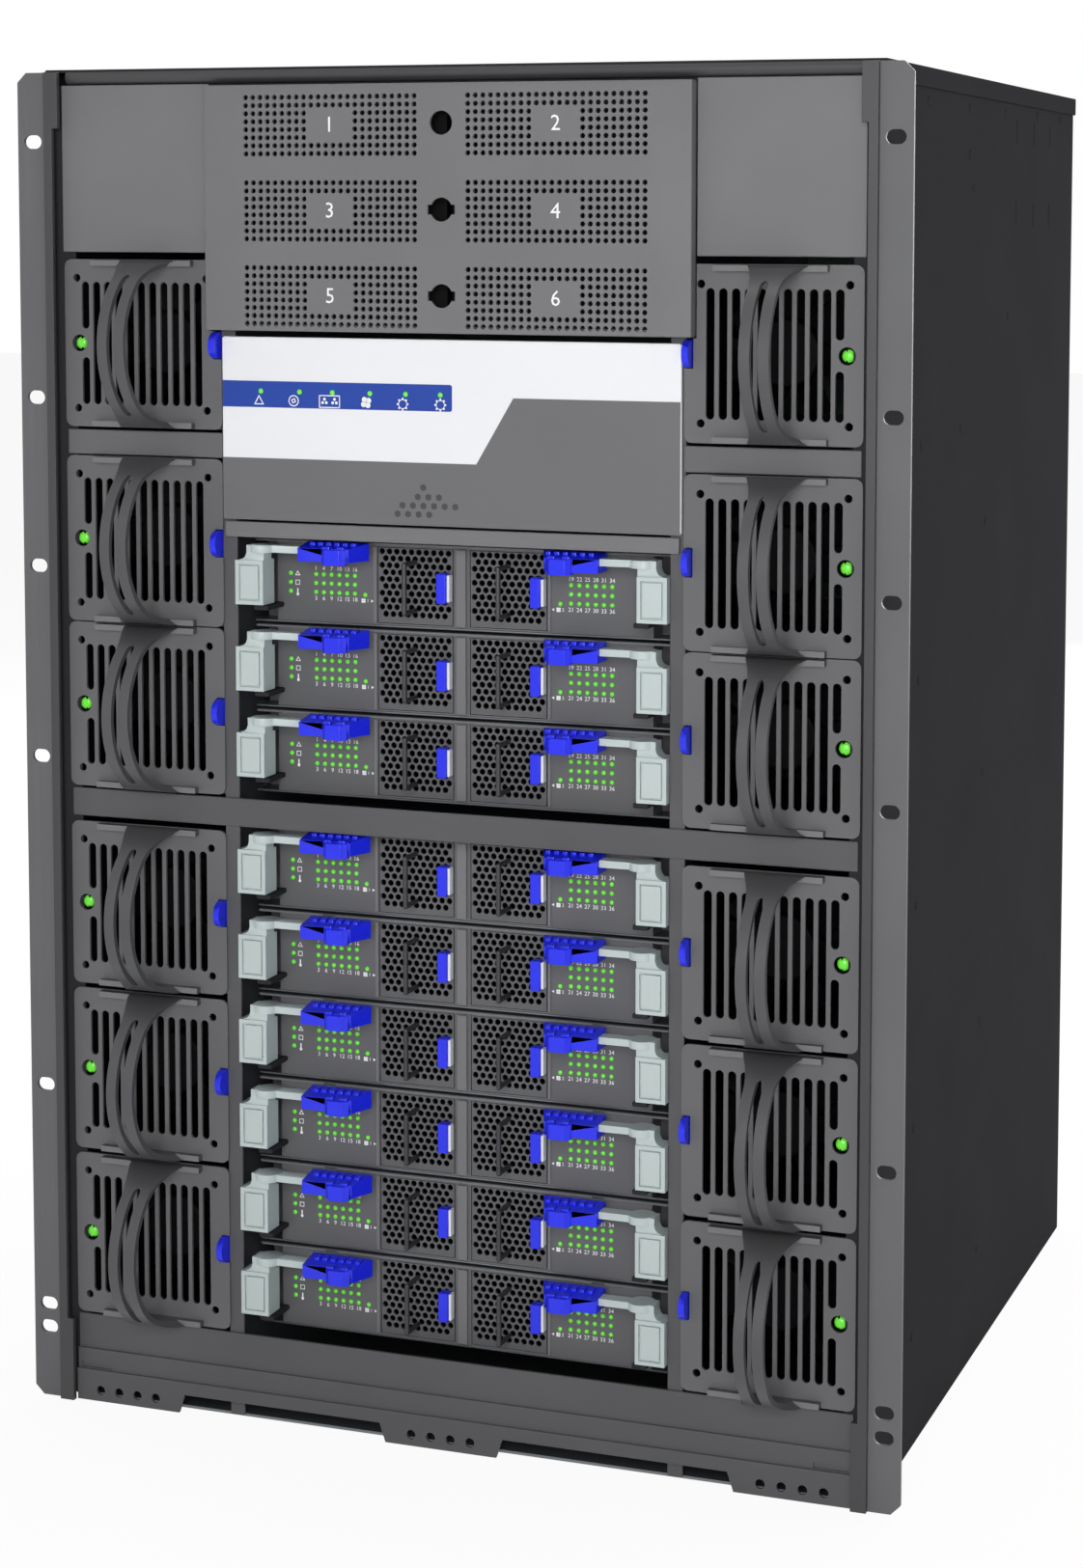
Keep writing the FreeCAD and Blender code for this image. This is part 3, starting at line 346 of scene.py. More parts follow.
def other_hand(obj, name):
    """The mirror image of a piece across the chassis' middle plane."""
    twin = place_copy(obj, name)
    twin.data.transform(Matrix.Scale(-1, 4, (1, 0, 0)))
    pick(twin)
    bpy.ops.object.mode_set(mode="EDIT")
    bpy.ops.mesh.select_all(action="SELECT")
    bpy.ops.mesh.normals_make_consistent(inside=False)
    bpy.ops.object.mode_set(mode="OBJECT")
    return twin


# dark powder coat: dead matt, with a fine texture that is drawn a little coarser than the real one to show.
# It also carries painted shade: the side walls and their rivets have the ears' grey paint but are drawn
# near-black, and the frame's backing and the spine brackets are drawn dark so that the gaps behind and below
# them look black.
dark_coat_and_painted_shade = coat("dark_powder_coat", "#303032", grain=0.9, depth=0.05, rough=0.6, shine=0.0)
# grey powder coat of the ears: the same texture with a faint sheen
ear_coat = coat("ear_powder_coat", "#606062", grain=0.8, depth=0.05, rough=0.5, shine=0.2)

front_y = wall_low.y
wall = block("side_wall_right_sheet", (WALL_OUTER - SHEET, front_y + EAR["thick"], 0),
             (WALL_OUTER, wall_high.y, wall_high.z))
vents = []
for y in WALL_VENTS["y"]:
    for z in WALL_VENTS["z"]:
        half_wide = WALL_VENTS["wide"] / 2
        half_tall = WALL_VENTS["tall"] / 2
        vents.append(block("vent", (WALL_OUTER - PAST, front_y + y - half_wide, z - half_tall),
                           (WALL_OUTER + PAST, front_y + y + half_wide, z + half_tall)))
combine(wall, join("vents", vents))
soften(wall, edge=0.4)
ear = block("rack_ear_right", (WALL_OUTER - SHEET, front_y, 0),
            (wall_high.x, front_y + EAR["thick"], wall_high.z))
round_edges(ear, "Y", EAR["corner"], steps=1, keep=lambda point: point.x > WALL_OUTER)
for z in EAR_SLOT_Z:
    combine(ear, capsule("ear_slot", (EAR_SLOT["x"], front_y, z), EAR_SLOT["wide"], EAR_SLOT["long"], THROUGH,
                         along="X"))
soften(ear, edge=0.35, steps=2)
heads = []
for y, z in RIVET_PLACES:
    heads.append(rod("rivet", (WALL_OUTER + RIVET["high"] / 2, front_y + y, z), RIVET["radius"],
                     RIVET["high"], "X", sides=16, tip=RIVET["tip"]))
rivets = join("wall_rivets_right", heads)
# the walls and rivets take the dark coat as painted shade; the ears keep the grey paint that the walls really
# have
for piece, material in ((wall, dark_coat_and_painted_shade), (ear, ear_coat), (rivets, dark_coat_and_painted_shade)):
    twin = other_hand(piece, piece.name.replace("right", "left"))
    dress(piece, material, "side_wall_right")
    dress(twin, material, "side_wall_left")

# Inner cage: floor, partitions, shelves and guides of bright zinc-plated sheet, riveted inside the walls.
# It shows only through gaps and when modules are drawn out, so the plain sheets are kept as they are.
# zinc-plated sheet: a dull metal with a faint spangle
cage_steel = coat("zinc_plated_sheet", "#6f7276", grain=0.5, depth=0.02, rough=0.4, metal=0.8, spread=0.08)


def finish_node(name, material):
    """Put a material on a sub-part that is shown as it is."""
    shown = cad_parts[name]
    shown.data.materials.clear()
    shown.data.materials.append(material)


finish_node("inner_cage", cage_steel)

# Power supplies: six folded sheet housings, drawn black as painted shade, so that they stay dark behind the
# perforated cover.
# They are pushed in from the front and seen only through the cover's holes.
# painted shade: the housings' sheet drawn almost black, with almost no shine
supply_painted_shade = coat("blackened_sheet", "#0b0b0c", grain=0.5, depth=0.02, rough=0.6, shine=0.1, spread=0.08)
finish_node("power_supplies", supply_painted_shade)

# Midplane board: a thick dark green circuit board, screwed upright across the cage.
# It carries the connectors between the front and rear modules.
# solder mask over glass-fibre resin: smooth, dark green
board_resin = coat("circuit_board_resin", "#1d3b2a", grain=0.4, depth=0.01, rough=0.35, spread=0.1)
finish_node("midplane_board", board_resin)

# Leaf modules: nine wide housings pushed in from the rear, dark coated steel with a zinc socket row each.
# A row has 18 pairs of sockets with a small light over each pair, and a screw at each end holds the module.
leaf_low, leaf_high = (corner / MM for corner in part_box("leaf_modules"))
LEAF = {"first": 6.0, "pitch": 66.0, "tall": 62.0, "count": 9, "case_gap": 0.2}
PORTS = {"wide": 400.0, "tall": 24.0, "pairs": 18}
SOCKET = {"half_tall": 5.6, "deep": 1.3, "gap": 0.4, "rim": 1.2, "sunk": 1.2, "mouth": 0.3}
LEAF_LIGHT = {"half": 1.2, "low": 16.0, "high": 17.6, "sunk": 0.2, "proud": 0.25}
LEAF_SCREW = {"x": 207.0, "radius": 3.4, "thick": 1.2}
# zinc plating of sockets and screws: a bright, slightly cloudy metal
zinc = coat("zinc_plating", "#8d8f92", grain=0.5, depth=0.02, rough=0.35, metal=0.9, spread=0.05)
# black moulded plastic: it swallows the light inside openings
black_plastic = coat("black_plastic", "#0b0b0d", grain=0.4, depth=0.02, rough=0.5, shine=0.05)
# clear green lens with a lamp behind it: smooth, and it glows a little
LENS_GREEN = "#63d236"
LENS_GLOW = 0.2
green_lens = coat("green_light_lens", LENS_GREEN, grain=0.3, depth=0.01, rough=0.2, spread=0.05)
lens_shader = green_lens.node_tree.nodes["Principled BSDF"]
lens_shader.inputs["Emission Color"].default_value = srgb(LENS_GREEN)
lens_shader.inputs["Emission Strength"].default_value = LENS_GLOW


def repeat(obj, count, step):
    """A row of copies in one mesh, a step in millimetres apart."""
    pick(obj)
    row = obj.modifiers.new("row", "ARRAY")
    row.count = count
    row.use_relative_offset = False
    row.use_constant_offset = True
    row.constant_offset_displace = [value * MM for value in step]
    bpy.ops.object.modifier_apply(modifier=row.name)
    return obj


def drop(pieces):
    """Remove the patterns once their copies stand in place."""
    for item in pieces:
        bpy.data.objects.remove(item)


leaf_top = LEAF["first"] + LEAF["tall"]
leaf_middle = LEAF["first"] + LEAF["tall"] / 2
leaf_sheet = leaf_high.y - SHEET
leaf_front = block("leaf_front", (-leaf_high.x, leaf_sheet, LEAF["first"]),
                   (leaf_high.x, leaf_high.y, leaf_top))
combine(leaf_front, block("window", (-PORTS["wide"] / 2, leaf_high.y - PAST, leaf_middle - PORTS["tall"] / 2),
                          (PORTS["wide"] / 2, leaf_high.y + PAST, leaf_middle + PORTS["tall"] / 2)))
soften(leaf_front, edge=0.35)
leaf_case = block("leaf_case", (-leaf_high.x, leaf_low.y, LEAF["first"]),
                  (leaf_high.x, leaf_sheet - LEAF["case_gap"], leaf_top))
step = PORTS["wide"] / PORTS["pairs"]
first_pair = (step - PORTS["wide"]) / 2
half_wide = step / 2 - SOCKET["gap"]
half_mouth = half_wide - SOCKET["rim"]
mouth_y = leaf_sheet + SOCKET["deep"] - SOCKET["sunk"]
sockets = []
mouths = []
for level in (-1, 1):
    z = leaf_middle + level * PORTS["tall"] / 4
    socket = block("socket", (first_pair - half_wide, leaf_sheet, z - SOCKET["half_tall"]),
                   (first_pair + half_wide, leaf_sheet + SOCKET["deep"], z + SOCKET["half_tall"]))
    pick(socket)
    for face in socket.data.polygons:
        face.select = face.normal.y > 0.9
    bpy.context.tool_settings.mesh_select_mode = (False, False, True)
    bpy.ops.object.mode_set(mode="EDIT")
    bpy.ops.mesh.inset(thickness=SOCKET["rim"] * MM, depth=0)
    bpy.ops.mesh.extrude_region_move(TRANSFORM_OT_translate={"value": (0, -SOCKET["sunk"] * MM, 0)})
    bpy.ops.object.mode_set(mode="OBJECT")
    sockets.append(repeat(socket, PORTS["pairs"], (step, 0, 0)))
    mouth_tall = SOCKET["half_tall"] - SOCKET["rim"]
    mouth = block("mouth", (first_pair - half_mouth, mouth_y, z - mouth_tall),
                  (first_pair + half_mouth, mouth_y + SOCKET["mouth"], z + mouth_tall))
    mouths.append(repeat(mouth, PORTS["pairs"], (step, 0, 0)))
leaf_lights = block("leaf_lights",
                    (first_pair - LEAF_LIGHT["half"], leaf_high.y - LEAF_LIGHT["sunk"],
                     leaf_middle + LEAF_LIGHT["low"]),
                    (first_pair + LEAF_LIGHT["half"], leaf_high.y + LEAF_LIGHT["proud"],
                     leaf_middle + LEAF_LIGHT["high"]))
repeat(leaf_lights, PORTS["pairs"], (step, 0, 0))
screws = [rod("screw", (side * LEAF_SCREW["x"], leaf_high.y, leaf_middle), LEAF_SCREW["radius"],
              LEAF_SCREW["thick"], "Y", sides=20) for side in (-1, 1)]
leaf_set = ((leaf_front, dark_coat_and_painted_shade), (leaf_case, cage_steel), (join("leaf_sockets", sockets), zinc),
            (join("leaf_mouths", mouths), black_plastic), (leaf_lights, green_lens),
            (soften(join("leaf_screws", screws), edge=0.3), zinc))
for index in range(LEAF["count"]):
    for pattern, material in leaf_set:
        twin = place_copy(pattern, "%s_%d" % (pattern.name, index + 1), z=index * LEAF["pitch"])
        dress(twin, material, "leaf_modules")
drop([pattern for pattern, material in leaf_set])

# Top cover: a dark powder-coated sheet folded over the walls, fixed with zinc screws.
# Its front edge is rolled back into a thick hem.
cover_low, cover_high = (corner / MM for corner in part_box("top_cover"))
HEM = {"half": 215.0, "thick": 7.9, "back": 1.0}
FLANGE = 10.0
TOP_SCREW = {"x": (-205.0, -70.0, 70.0, 205.0), "front": 22.0, "rear": 16.0, "radius": 3.2, "tip": 2.9}
TOP_SCREW_HEAD = {"z": -0.2, "high": 0.5}
# satin dark coat: the rolled edges catch the light
edge_coat = coat("satin_edge_coat", "#3a3a3c", grain=0.8, depth=0.03, rough=0.36, shine=0.4)
top = block("top_cover_sheet", (cover_low.x, cover_low.y + HEM["back"], cover_high.z - SHEET), cover_high)
roll = HEM["thick"] / 2
hem = rod("top_hem", (0, cover_low.y + roll, cover_high.z - roll), roll, 2 * HEM["half"], "X", sides=40)
soften(hem, edge=0.3)
for side in (-1, 1):
    combine(top, block("flange", (side * cover_high.x, cover_low.y, cover_high.z - FLANGE),
                       (side * (cover_high.x - SHEET), cover_high.y, cover_high.z - SHEET / 2)), "UNION")
soften(top, edge=1.2, steps=3)
screws = []
for x in TOP_SCREW["x"]:
    for y in (cover_low.y + TOP_SCREW["front"], cover_high.y - TOP_SCREW["rear"]):
        screws.append(rod("screw", (x, y, cover_high.z + TOP_SCREW_HEAD["z"]), TOP_SCREW["radius"],
                          TOP_SCREW_HEAD["high"], "Z", sides=20, tip=TOP_SCREW["tip"]))
dress(top, dark_coat_and_painted_shade, "top_cover")
dress(hem, edge_coat, "top_cover")
dress(join("top_screws", screws), zinc, "top_cover")

# Front frame: grey powder-coated posts, bars and the narrow columns beside the ears, welded to the cage.
# The bars are flat strips of sheet; each column has a rounded bead and ends in two tabs.
PLATE_FRONT = front_y + 3.5
PLATE_BACK = PLATE_FRONT + SHEET
PANEL_HALF = 216.0
WALL_INNER = WALL_OUTER - SHEET
POST = (118.5, 126.6)
EDGE_STRIP = 211.0
HEADER = (690.0, 702.3)
MID_BAR = (318.0, 333.0)
SIDE_STRIP = {"inner": 125.8, "low": 510.4, "high": 523.4}
COLUMN = {"inner": 219.8, "outer": 224.6, "proud": 3.0, "tab": 3.4, "tab_top": 29.0, "tab_bottom": 45.0,
          "overlap": 1.0}
# darker grey powder coat of the frame: faint sheen
frame_coat = coat("frame_powder_coat", "#535355", grain=0.8, depth=0.05, rough=0.5, shine=0.2)
posts, backing, side_strips = [], [], []
for side in (-1, 1):
    posts.append(block("post", (side * POST[0], PLATE_BACK, SHEET),
                       (side * POST[1], PLATE_BACK + SHEET, HEADER[0])))
    backing.append(block("strip", (side * EDGE_STRIP, PLATE_BACK, SHEET),
                         (side * WALL_INNER, PLATE_BACK + SHEET, HEADER[0])))
    side_strips.append(block("strip", (side * SIDE_STRIP["inner"], PLATE_FRONT, SIDE_STRIP["low"]),
                             (side * PANEL_HALF, PLATE_BACK, SIDE_STRIP["high"])))
backing.append(block("header", (-WALL_INNER, PLATE_BACK, HEADER[0]),
                     (WALL_INNER, PLATE_BACK + SHEET, HEADER[1])))
posts = soften(join("frame_posts", posts), edge=0.3)
backing = soften(join("frame_backing", backing), edge=0.3)
side_strips = soften(join("frame_side_strips", side_strips), edge=0.7, steps=3)
bar = block("frame_bar", (-PANEL_HALF, PLATE_FRONT, MID_BAR[0]), (PANEL_HALF, PLATE_BACK, MID_BAR[1]))
soften(bar, edge=0.7, steps=3)
column_front = front_y - COLUMN["proud"]
column = block("frame_column_right", (COLUMN["inner"], column_front, 0),
               (COLUMN["outer"], front_y, wall_high.z))
for low, high in ((wall_high.z - COLUMN["tab_top"], wall_high.z), (0, COLUMN["tab_bottom"])):
    combine(column, block("tab", (COLUMN["inner"] - COLUMN["tab"], column_front, low),
                          (COLUMN["inner"] + COLUMN["overlap"], front_y, high)), "UNION")
soften(column, edge=2.3, steps=6)
# the backing strips and header behind the plates take the dark coat as painted shade, so that the gaps
# between the plates and the columns look black
for piece, material in ((posts, frame_coat), (bar, frame_coat), (side_strips, ear_coat), (backing, dark_coat_and_painted_shade),
                        (other_hand(column, "frame_column_left"), edge_coat), (column, edge_coat)):
    dress(piece, material, "front_frame")

# Base rail: one grey powder-coated sheet along the bottom, stepped forward at two bends.
# Its lower edge is punched into three feet, each with a row of round holes.
RAIL = {"top": 46.5, "step": 1.5, "upper": 28.0, "lower": 17.0, "edge": 10.0}
FOOT = {"centre": (-35.0, 27.0), "side": 155.0, "slope": 3.5, "overlap": 0.5}
FOOT_HOLES = {"pitch": 11.0, "radius": 2.5, "z": 6.0, "count": 4, "cut": 12.0}
NOTCH = {"x": (196.0, 214.0), "z": (17.6, 20.4), "deep": 0.9}
rail_y = [PLATE_FRONT - RAIL["step"] * index for index in range(3)]
rail = block("base_rail_sheet", (-PANEL_HALF, rail_y[0], RAIL["upper"] - SHEET),
             (PANEL_HALF, rail_y[0] + SHEET, RAIL["top"]))
combine(rail, block("bend", (-PANEL_HALF, rail_y[1], RAIL["lower"] - SHEET),
                    (PANEL_HALF, rail_y[1] + SHEET, RAIL["upper"])), "UNION")
combine(rail, block("bend", (-PANEL_HALF, rail_y[2], RAIL["edge"]),
                    (PANEL_HALF, rail_y[2] + SHEET, RAIL["lower"])), "UNION")
# ends of each foot, and whether each end slopes
feet = ((*FOOT["centre"], True, True), (FOOT["side"], PANEL_HALF, True, False),
        (-PANEL_HALF, -FOOT["side"], False, True))
for left, right, slope_left, slope_right in feet:
    foot = block("foot", (left, rail_y[2], 0), (right, rail_y[2] + SHEET, RAIL["edge"] + FOOT["overlap"]))
    for corner in foot.data.vertices:
        if corner.co.z > RAIL["edge"] * MM:
            if slope_left and corner.co.x < (left + 0.1) * MM:
                corner.co.x -= FOOT["slope"] * MM
            if slope_right and corner.co.x > (right - 0.1) * MM:
                corner.co.x += FOOT["slope"] * MM
    combine(rail, foot, "UNION")
    first_hole = (left + right) / 2 - FOOT_HOLES["pitch"] * (FOOT_HOLES["count"] - 1) / 2
    hole = rod("hole", (first_hole, rail_y[2], FOOT_HOLES["z"]), FOOT_HOLES["radius"], FOOT_HOLES["cut"],
               "Y", sides=20)
    combine(rail, repeat(hole, FOOT_HOLES["count"], (FOOT_HOLES["pitch"], 0, 0)))
for side in (-1, 1):
    combine(rail, block("notch", (side * NOTCH["x"][0], rail_y[1] - PAST, NOTCH["z"][0]),
                        (side * NOTCH["x"][1], rail_y[1] + NOTCH["deep"], NOTCH["z"][1])))
soften(rail, edge=0.7, steps=3)
dress(rail, frame_coat, "base_rail")

# Blank panels: two flat grey powder-coated plates that close the top corners beside the supply cover.
# Each is fixed from behind, so its face is plain.
blank_low, blank_high = (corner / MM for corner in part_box("blank_panels"))
BLANK = (132.1, 217.6)
# grey powder coat of the upper panels: the lightest grey, with a faint sheen
grey_coat = coat("grey_powder_coat", "#6e6e70", grain=0.8, depth=0.05, rough=0.5, shine=0.2)
blank = block("blank_panel_right", (BLANK[0], blank_low.y, blank_low.z),
              (BLANK[1], blank_high.y, blank_high.z))
soften(blank, edge=0.6, steps=3)
dress(other_hand(blank, "blank_panel_left"), grey_coat, "blank_panels")
dress(blank, grey_coat, "blank_panels")

# Status panel: a white moulded plastic bezel that snaps over the posts, printed with blue and grey.
# Six small lights show through the blue band over their icons; a grey lip closes the lower edge.
status_low, status_high = (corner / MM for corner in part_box("status_panel"))
STATUS = {"lip": 8.0, "lip_inset": 1.0, "seam": 1.2, "corner": 1.5}
PRINT = {"thick": 0.15, "inset": 0.4, "above_seam": 0.1, "ink": 0.05, "line": 0.5}
BAND = {"right": 3.4, "low": 537.3, "high": 550.8, "corner": 1.2}
FIELD = {"left_top": 511.2, "corner_x": 16.5, "right_x": 36.5, "right_top": 544.8, "overlap": 2.0}
ICON_X = (-103.8, -84.2, -64.1, -43.7, -23.5, -2.9)
ICON_Z = 541.0
WARNING = {"radius": 3.3, "drop": 0.6}
POWER = {"ring": 2.9, "core": 1.5, "turn": 20}
TWO_FANS = {"side": 5.6, "edge": 3.0, "edge_half": 5.8, "bar": 0.03, "hub": 2.8, "blade": 0.8, "out": 1.2}
ONE_FAN = {"blade": 1.45, "out": 1.7, "turn": 35}
GEAR = {"ring": 2.5, "line": 0.4, "tooth": 0.55, "out": 2.8, "teeth": 8, "drop": 0.4}
STATUS_LIGHT = {"x": (-102.7, -80.9, -62.5, -41.6, -21.9, -2.9), "z": 545.6, "radius": 1.4, "bulge": 0.9}
# holes in each row of vents, place of the first one and height
VENT_ROWS = ((1, -12.4, 498.7), (3, -15.4, 493.9), (6, -23.9, 489.4), (4, -26.6, 485.0))
VENT = {"pitch": 5.8, "radius": 1.8, "deep": 0.2}
# semi-gloss white plastic, as it comes from the mould
white_plastic = coat("white_plastic", "#dedfe2", grain=0.6, depth=0.01, rough=0.4, spread=0.02)
# grey and blue screen print: smooth and half matt
grey_print = coat("grey_screen_print", "#646466", grain=0.5, depth=0.01, rough=0.5, shine=0.3, spread=0.04)
blue_print = coat("blue_screen_print", "#1f3f97", grain=0.5, depth=0.01, rough=0.45, shine=0.3, spread=0.04)
# matt white ink of marks and numbers
white_ink = coat("white_ink", "#e8e8e8", grain=0.4, depth=0.005, rough=0.6, shine=0.2, spread=0.03)
# shade inside the vents: matt dark grey
vent_shade = coat("shaded_vent", "#4a4a4c", grain=0.5, depth=0.01, rough=0.7, shine=0.1)


def mark(name, x, y, z, radius, sides=20, hollow=0.0, turn=0.0):
    """A flat printed shape that looks forward: a disc or polygon, or its outline."""
    start()
    bpy.ops.mesh.primitive_circle_add(vertices=sides, radius=radius * MM, fill_type="NGON",
                                      location=(x * MM, y * MM, z * MM),
                                      rotation=(math.pi / 2, math.radians(turn), 0))
    bpy.context.object.name = name
    if hollow:
        bpy.ops.object.mode_set(mode="EDIT")
        bpy.ops.mesh.select_all(action="SELECT")
        bpy.ops.mesh.inset(thickness=hollow * MM)
        bpy.ops.mesh.delete(type="FACE")
        bpy.ops.object.mode_set(mode="OBJECT")
    return settle(bpy.context.object)


def petals(x, y, z, count, first, out, radius, sides):
    """Printed dots in a ring, the first one at an angle in degrees."""
    made = []
    for index in range(count):
        turn = math.radians(first + 360 / count * index)
        made.append(mark("petal", x + out * math.cos(turn), y, z + out * math.sin(turn), radius, sides=sides))
    return made


def dome(name, centre, radius, high, segments=12):
    """A small lens that bulges forward."""
    start()
    bpy.ops.mesh.primitive_uv_sphere_add(segments=segments, ring_count=segments // 2, radius=radius * MM,
                                         location=[value * MM for value in centre])
    bpy.context.object.name = name
    bpy.context.object.scale = (1, high / radius, 1)
    settle(bpy.context.object)
    bpy.ops.object.shade_smooth()
    return bpy.context.object


def slice_off(obj, point, normal):
    """Cut away what lies beyond a plane, given by a point in millimetres and the way it faces."""
    pick(obj)
    bpy.ops.object.mode_set(mode="EDIT")
    bpy.ops.mesh.select_all(action="SELECT")
    bpy.ops.mesh.bisect(plane_co=[value * MM for value in point], plane_no=Vector(normal).normalized(),
                        use_fill=True, clear_outer=True)
    bpy.ops.object.mode_set(mode="OBJECT")
    return obj


bezel_bottom = status_low.z + STATUS["lip"]
seam_top = bezel_bottom + STATUS["seam"]
bezel = block("status_bezel", (status_low.x, status_low.y, seam_top), status_high)
round_edges(bezel, "Y", STATUS["corner"], steps=4)
soften(bezel, edge=0.7, steps=3)
lip = block("status_lip", (status_low.x + STATUS["lip_inset"], status_low.y, status_low.z),
            (status_high.x - STATUS["lip_inset"], status_high.y, bezel_bottom))
soften(lip, edge=0.6, steps=3)
film_front = status_low.y - PRINT["thick"]
film_edge = status_high.x - PRINT["inset"]
field = block("status_field", (-film_edge, film_front, seam_top + PRINT["above_seam"]),
              (film_edge, status_low.y, FIELD["left_top"]))
slope = block("slope", (FIELD["corner_x"], film_front, FIELD["left_top"] - FIELD["overlap"]),
              (film_edge, status_low.y, FIELD["right_top"]))
slice_off(slope, (FIELD["corner_x"], 0, FIELD["left_top"]),
          (FIELD["left_top"] - FIELD["right_top"], 0, FIELD["right_x"] - FIELD["corner_x"]))
combine(field, slope, "UNION")
vents = []
for count, first, z in VENT_ROWS:
    hole = rod("vent", (first, film_front, z), VENT["radius"], VENT["deep"], "Y", sides=6)
    vents.append(repeat(hole, count, (VENT["pitch"], 0, 0)))
band = block("status_band", (-film_edge, film_front, BAND["low"]),
             (BAND["right"], status_low.y, BAND["high"]))
round_edges(band, "Y", BAND["corner"], steps=4, keep=lambda point: point.x > 0)
ink_y = film_front - PRINT["ink"]
line = PRINT["line"]
icons = [mark("icon", ICON_X[0], ink_y, ICON_Z - WARNING["drop"], WARNING["radius"], sides=3, hollow=line),
         mark("icon", ICON_X[1], ink_y, ICON_Z, POWER["ring"], sides=24, hollow=line),
         mark("icon", ICON_X[1], ink_y, ICON_Z, POWER["core"], sides=4, hollow=line, turn=POWER["turn"])]
for side in (-1, 1):
    x = ICON_X[2] + side * TWO_FANS["side"]
    icons.append(block("icon", (x - line / 2, ink_y - TWO_FANS["bar"], ICON_Z - TWO_FANS["edge"]),
                       (x + line / 2, ink_y, ICON_Z + TWO_FANS["edge"])))
for side in (-1, 1):
    z = ICON_Z + side * TWO_FANS["edge"]
    icons.append(block("icon", (ICON_X[2] - TWO_FANS["edge_half"], ink_y - TWO_FANS["bar"], z - line / 2),
                       (ICON_X[2] + TWO_FANS["edge_half"], ink_y, z + line / 2)))
for side in (-1, 1):
    icons += petals(ICON_X[2] + side * TWO_FANS["hub"], ink_y, ICON_Z, count=3, first=90, out=TWO_FANS["out"],
                    radius=TWO_FANS["blade"], sides=8)
icons += petals(ICON_X[3], ink_y, ICON_Z, count=4, first=ONE_FAN["turn"], out=ONE_FAN["out"],
                radius=ONE_FAN["blade"], sides=12)
for x in ICON_X[4:]:
    icons.append(mark("icon", x, ink_y, ICON_Z - GEAR["drop"], GEAR["ring"], sides=16, hollow=GEAR["line"]))
    icons += petals(x, ink_y, ICON_Z - GEAR["drop"], count=GEAR["teeth"], first=0, out=GEAR["out"],
                    radius=GEAR["tooth"], sides=6)
lights = []
for x in STATUS_LIGHT["x"]:
    lights.append(dome("light", (x, film_front, STATUS_LIGHT["z"]), STATUS_LIGHT["radius"],
                       STATUS_LIGHT["bulge"]))
for piece, material in ((bezel, white_plastic), (lip, grey_coat), (field, grey_print),
                        (join("status_vents", vents), vent_shade), (band, blue_print),
                        (join("status_icons", icons), white_ink),
                        (join("status_lights", lights), green_lens)):
    dress(piece, material, "status_panel")

# Supply cover: a shallow pan of grey powder-coated sheet that clips over the posts and pulls off.
# Six fields of punched holes let air to the supplies, each round a plain printed number.
pan_low, pan_high = (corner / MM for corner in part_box("supply_cover"))
PAN = {"lip": 12.0, "top_gap": 1.2}
FIELD_X = (-61.0, 61.0)
FIELD_Z = (680.5, 637.5, 594.5)
NUMBER_SIZE = 11.0
PUNCH = {"pitch": 4.05, "radius": 1.4, "columns": 24, "rows": 8}
# columns and rows of a field that its number takes up
LABEL = {"first": 9, "wide": 6, "edge_rows": 2}
# the large holes, and whether each has a notch at both sides
KEYHOLES = ((681.3, False), (638.3, True), (595.3, True))
KEYHOLE = {"radius": 6.0, "notch": 7.4, "notch_half": 2.4, "deep": 6.0}


def label(name, words, x, y, z, size):
    """Printed characters that look forward, centred on a point."""
    start()
    bpy.ops.object.text_add(location=(x * MM, y * MM, z * MM), rotation=(math.pi / 2, 0, 0))
    text = bpy.context.object
    text.data.body = words
    text.data.size = size * MM
    text.data.resolution_u = 2
    text.data.align_x = "CENTER"
    text.data.align_y = "CENTER"
    pick(text)
    bpy.ops.object.convert(target="MESH")
    bpy.context.object.name = name
    return settle(bpy.context.object)


pan = block("supply_cover_pan", pan_low, (pan_high.x, pan_high.y, pan_high.z - PAN["top_gap"]))
combine(pan, block("inside", (pan_low.x + SHEET, pan_low.y + SHEET, pan_low.z - PAST),
                   (pan_high.x - SHEET, pan_high.y - SHEET, pan_high.z + PAST)))
combine(pan, block("mouth", (pan_low.x + PAN["lip"], pan_high.y - 3 * SHEET, pan_low.z - PAST),
                   (pan_high.x - PAN["lip"], pan_high.y + PAST, pan_high.z + PAST)))
soften(pan, edge=0.9, steps=3)
for z, notched in KEYHOLES:
    combine(pan, rod("keyhole", (0, pan_low.y, z), KEYHOLE["radius"], KEYHOLE["deep"], "Y", sides=32))
    if notched:
        half_deep = KEYHOLE["deep"] / 2
        combine(pan, block("notch", (-KEYHOLE["notch"], pan_low.y - half_deep, z - KEYHOLE["notch_half"]),
                           (KEYHOLE["notch"], pan_low.y + half_deep, z + KEYHOLE["notch_half"])))
pitch = PUNCH["pitch"]
far = LABEL["first"] + LABEL["wide"]
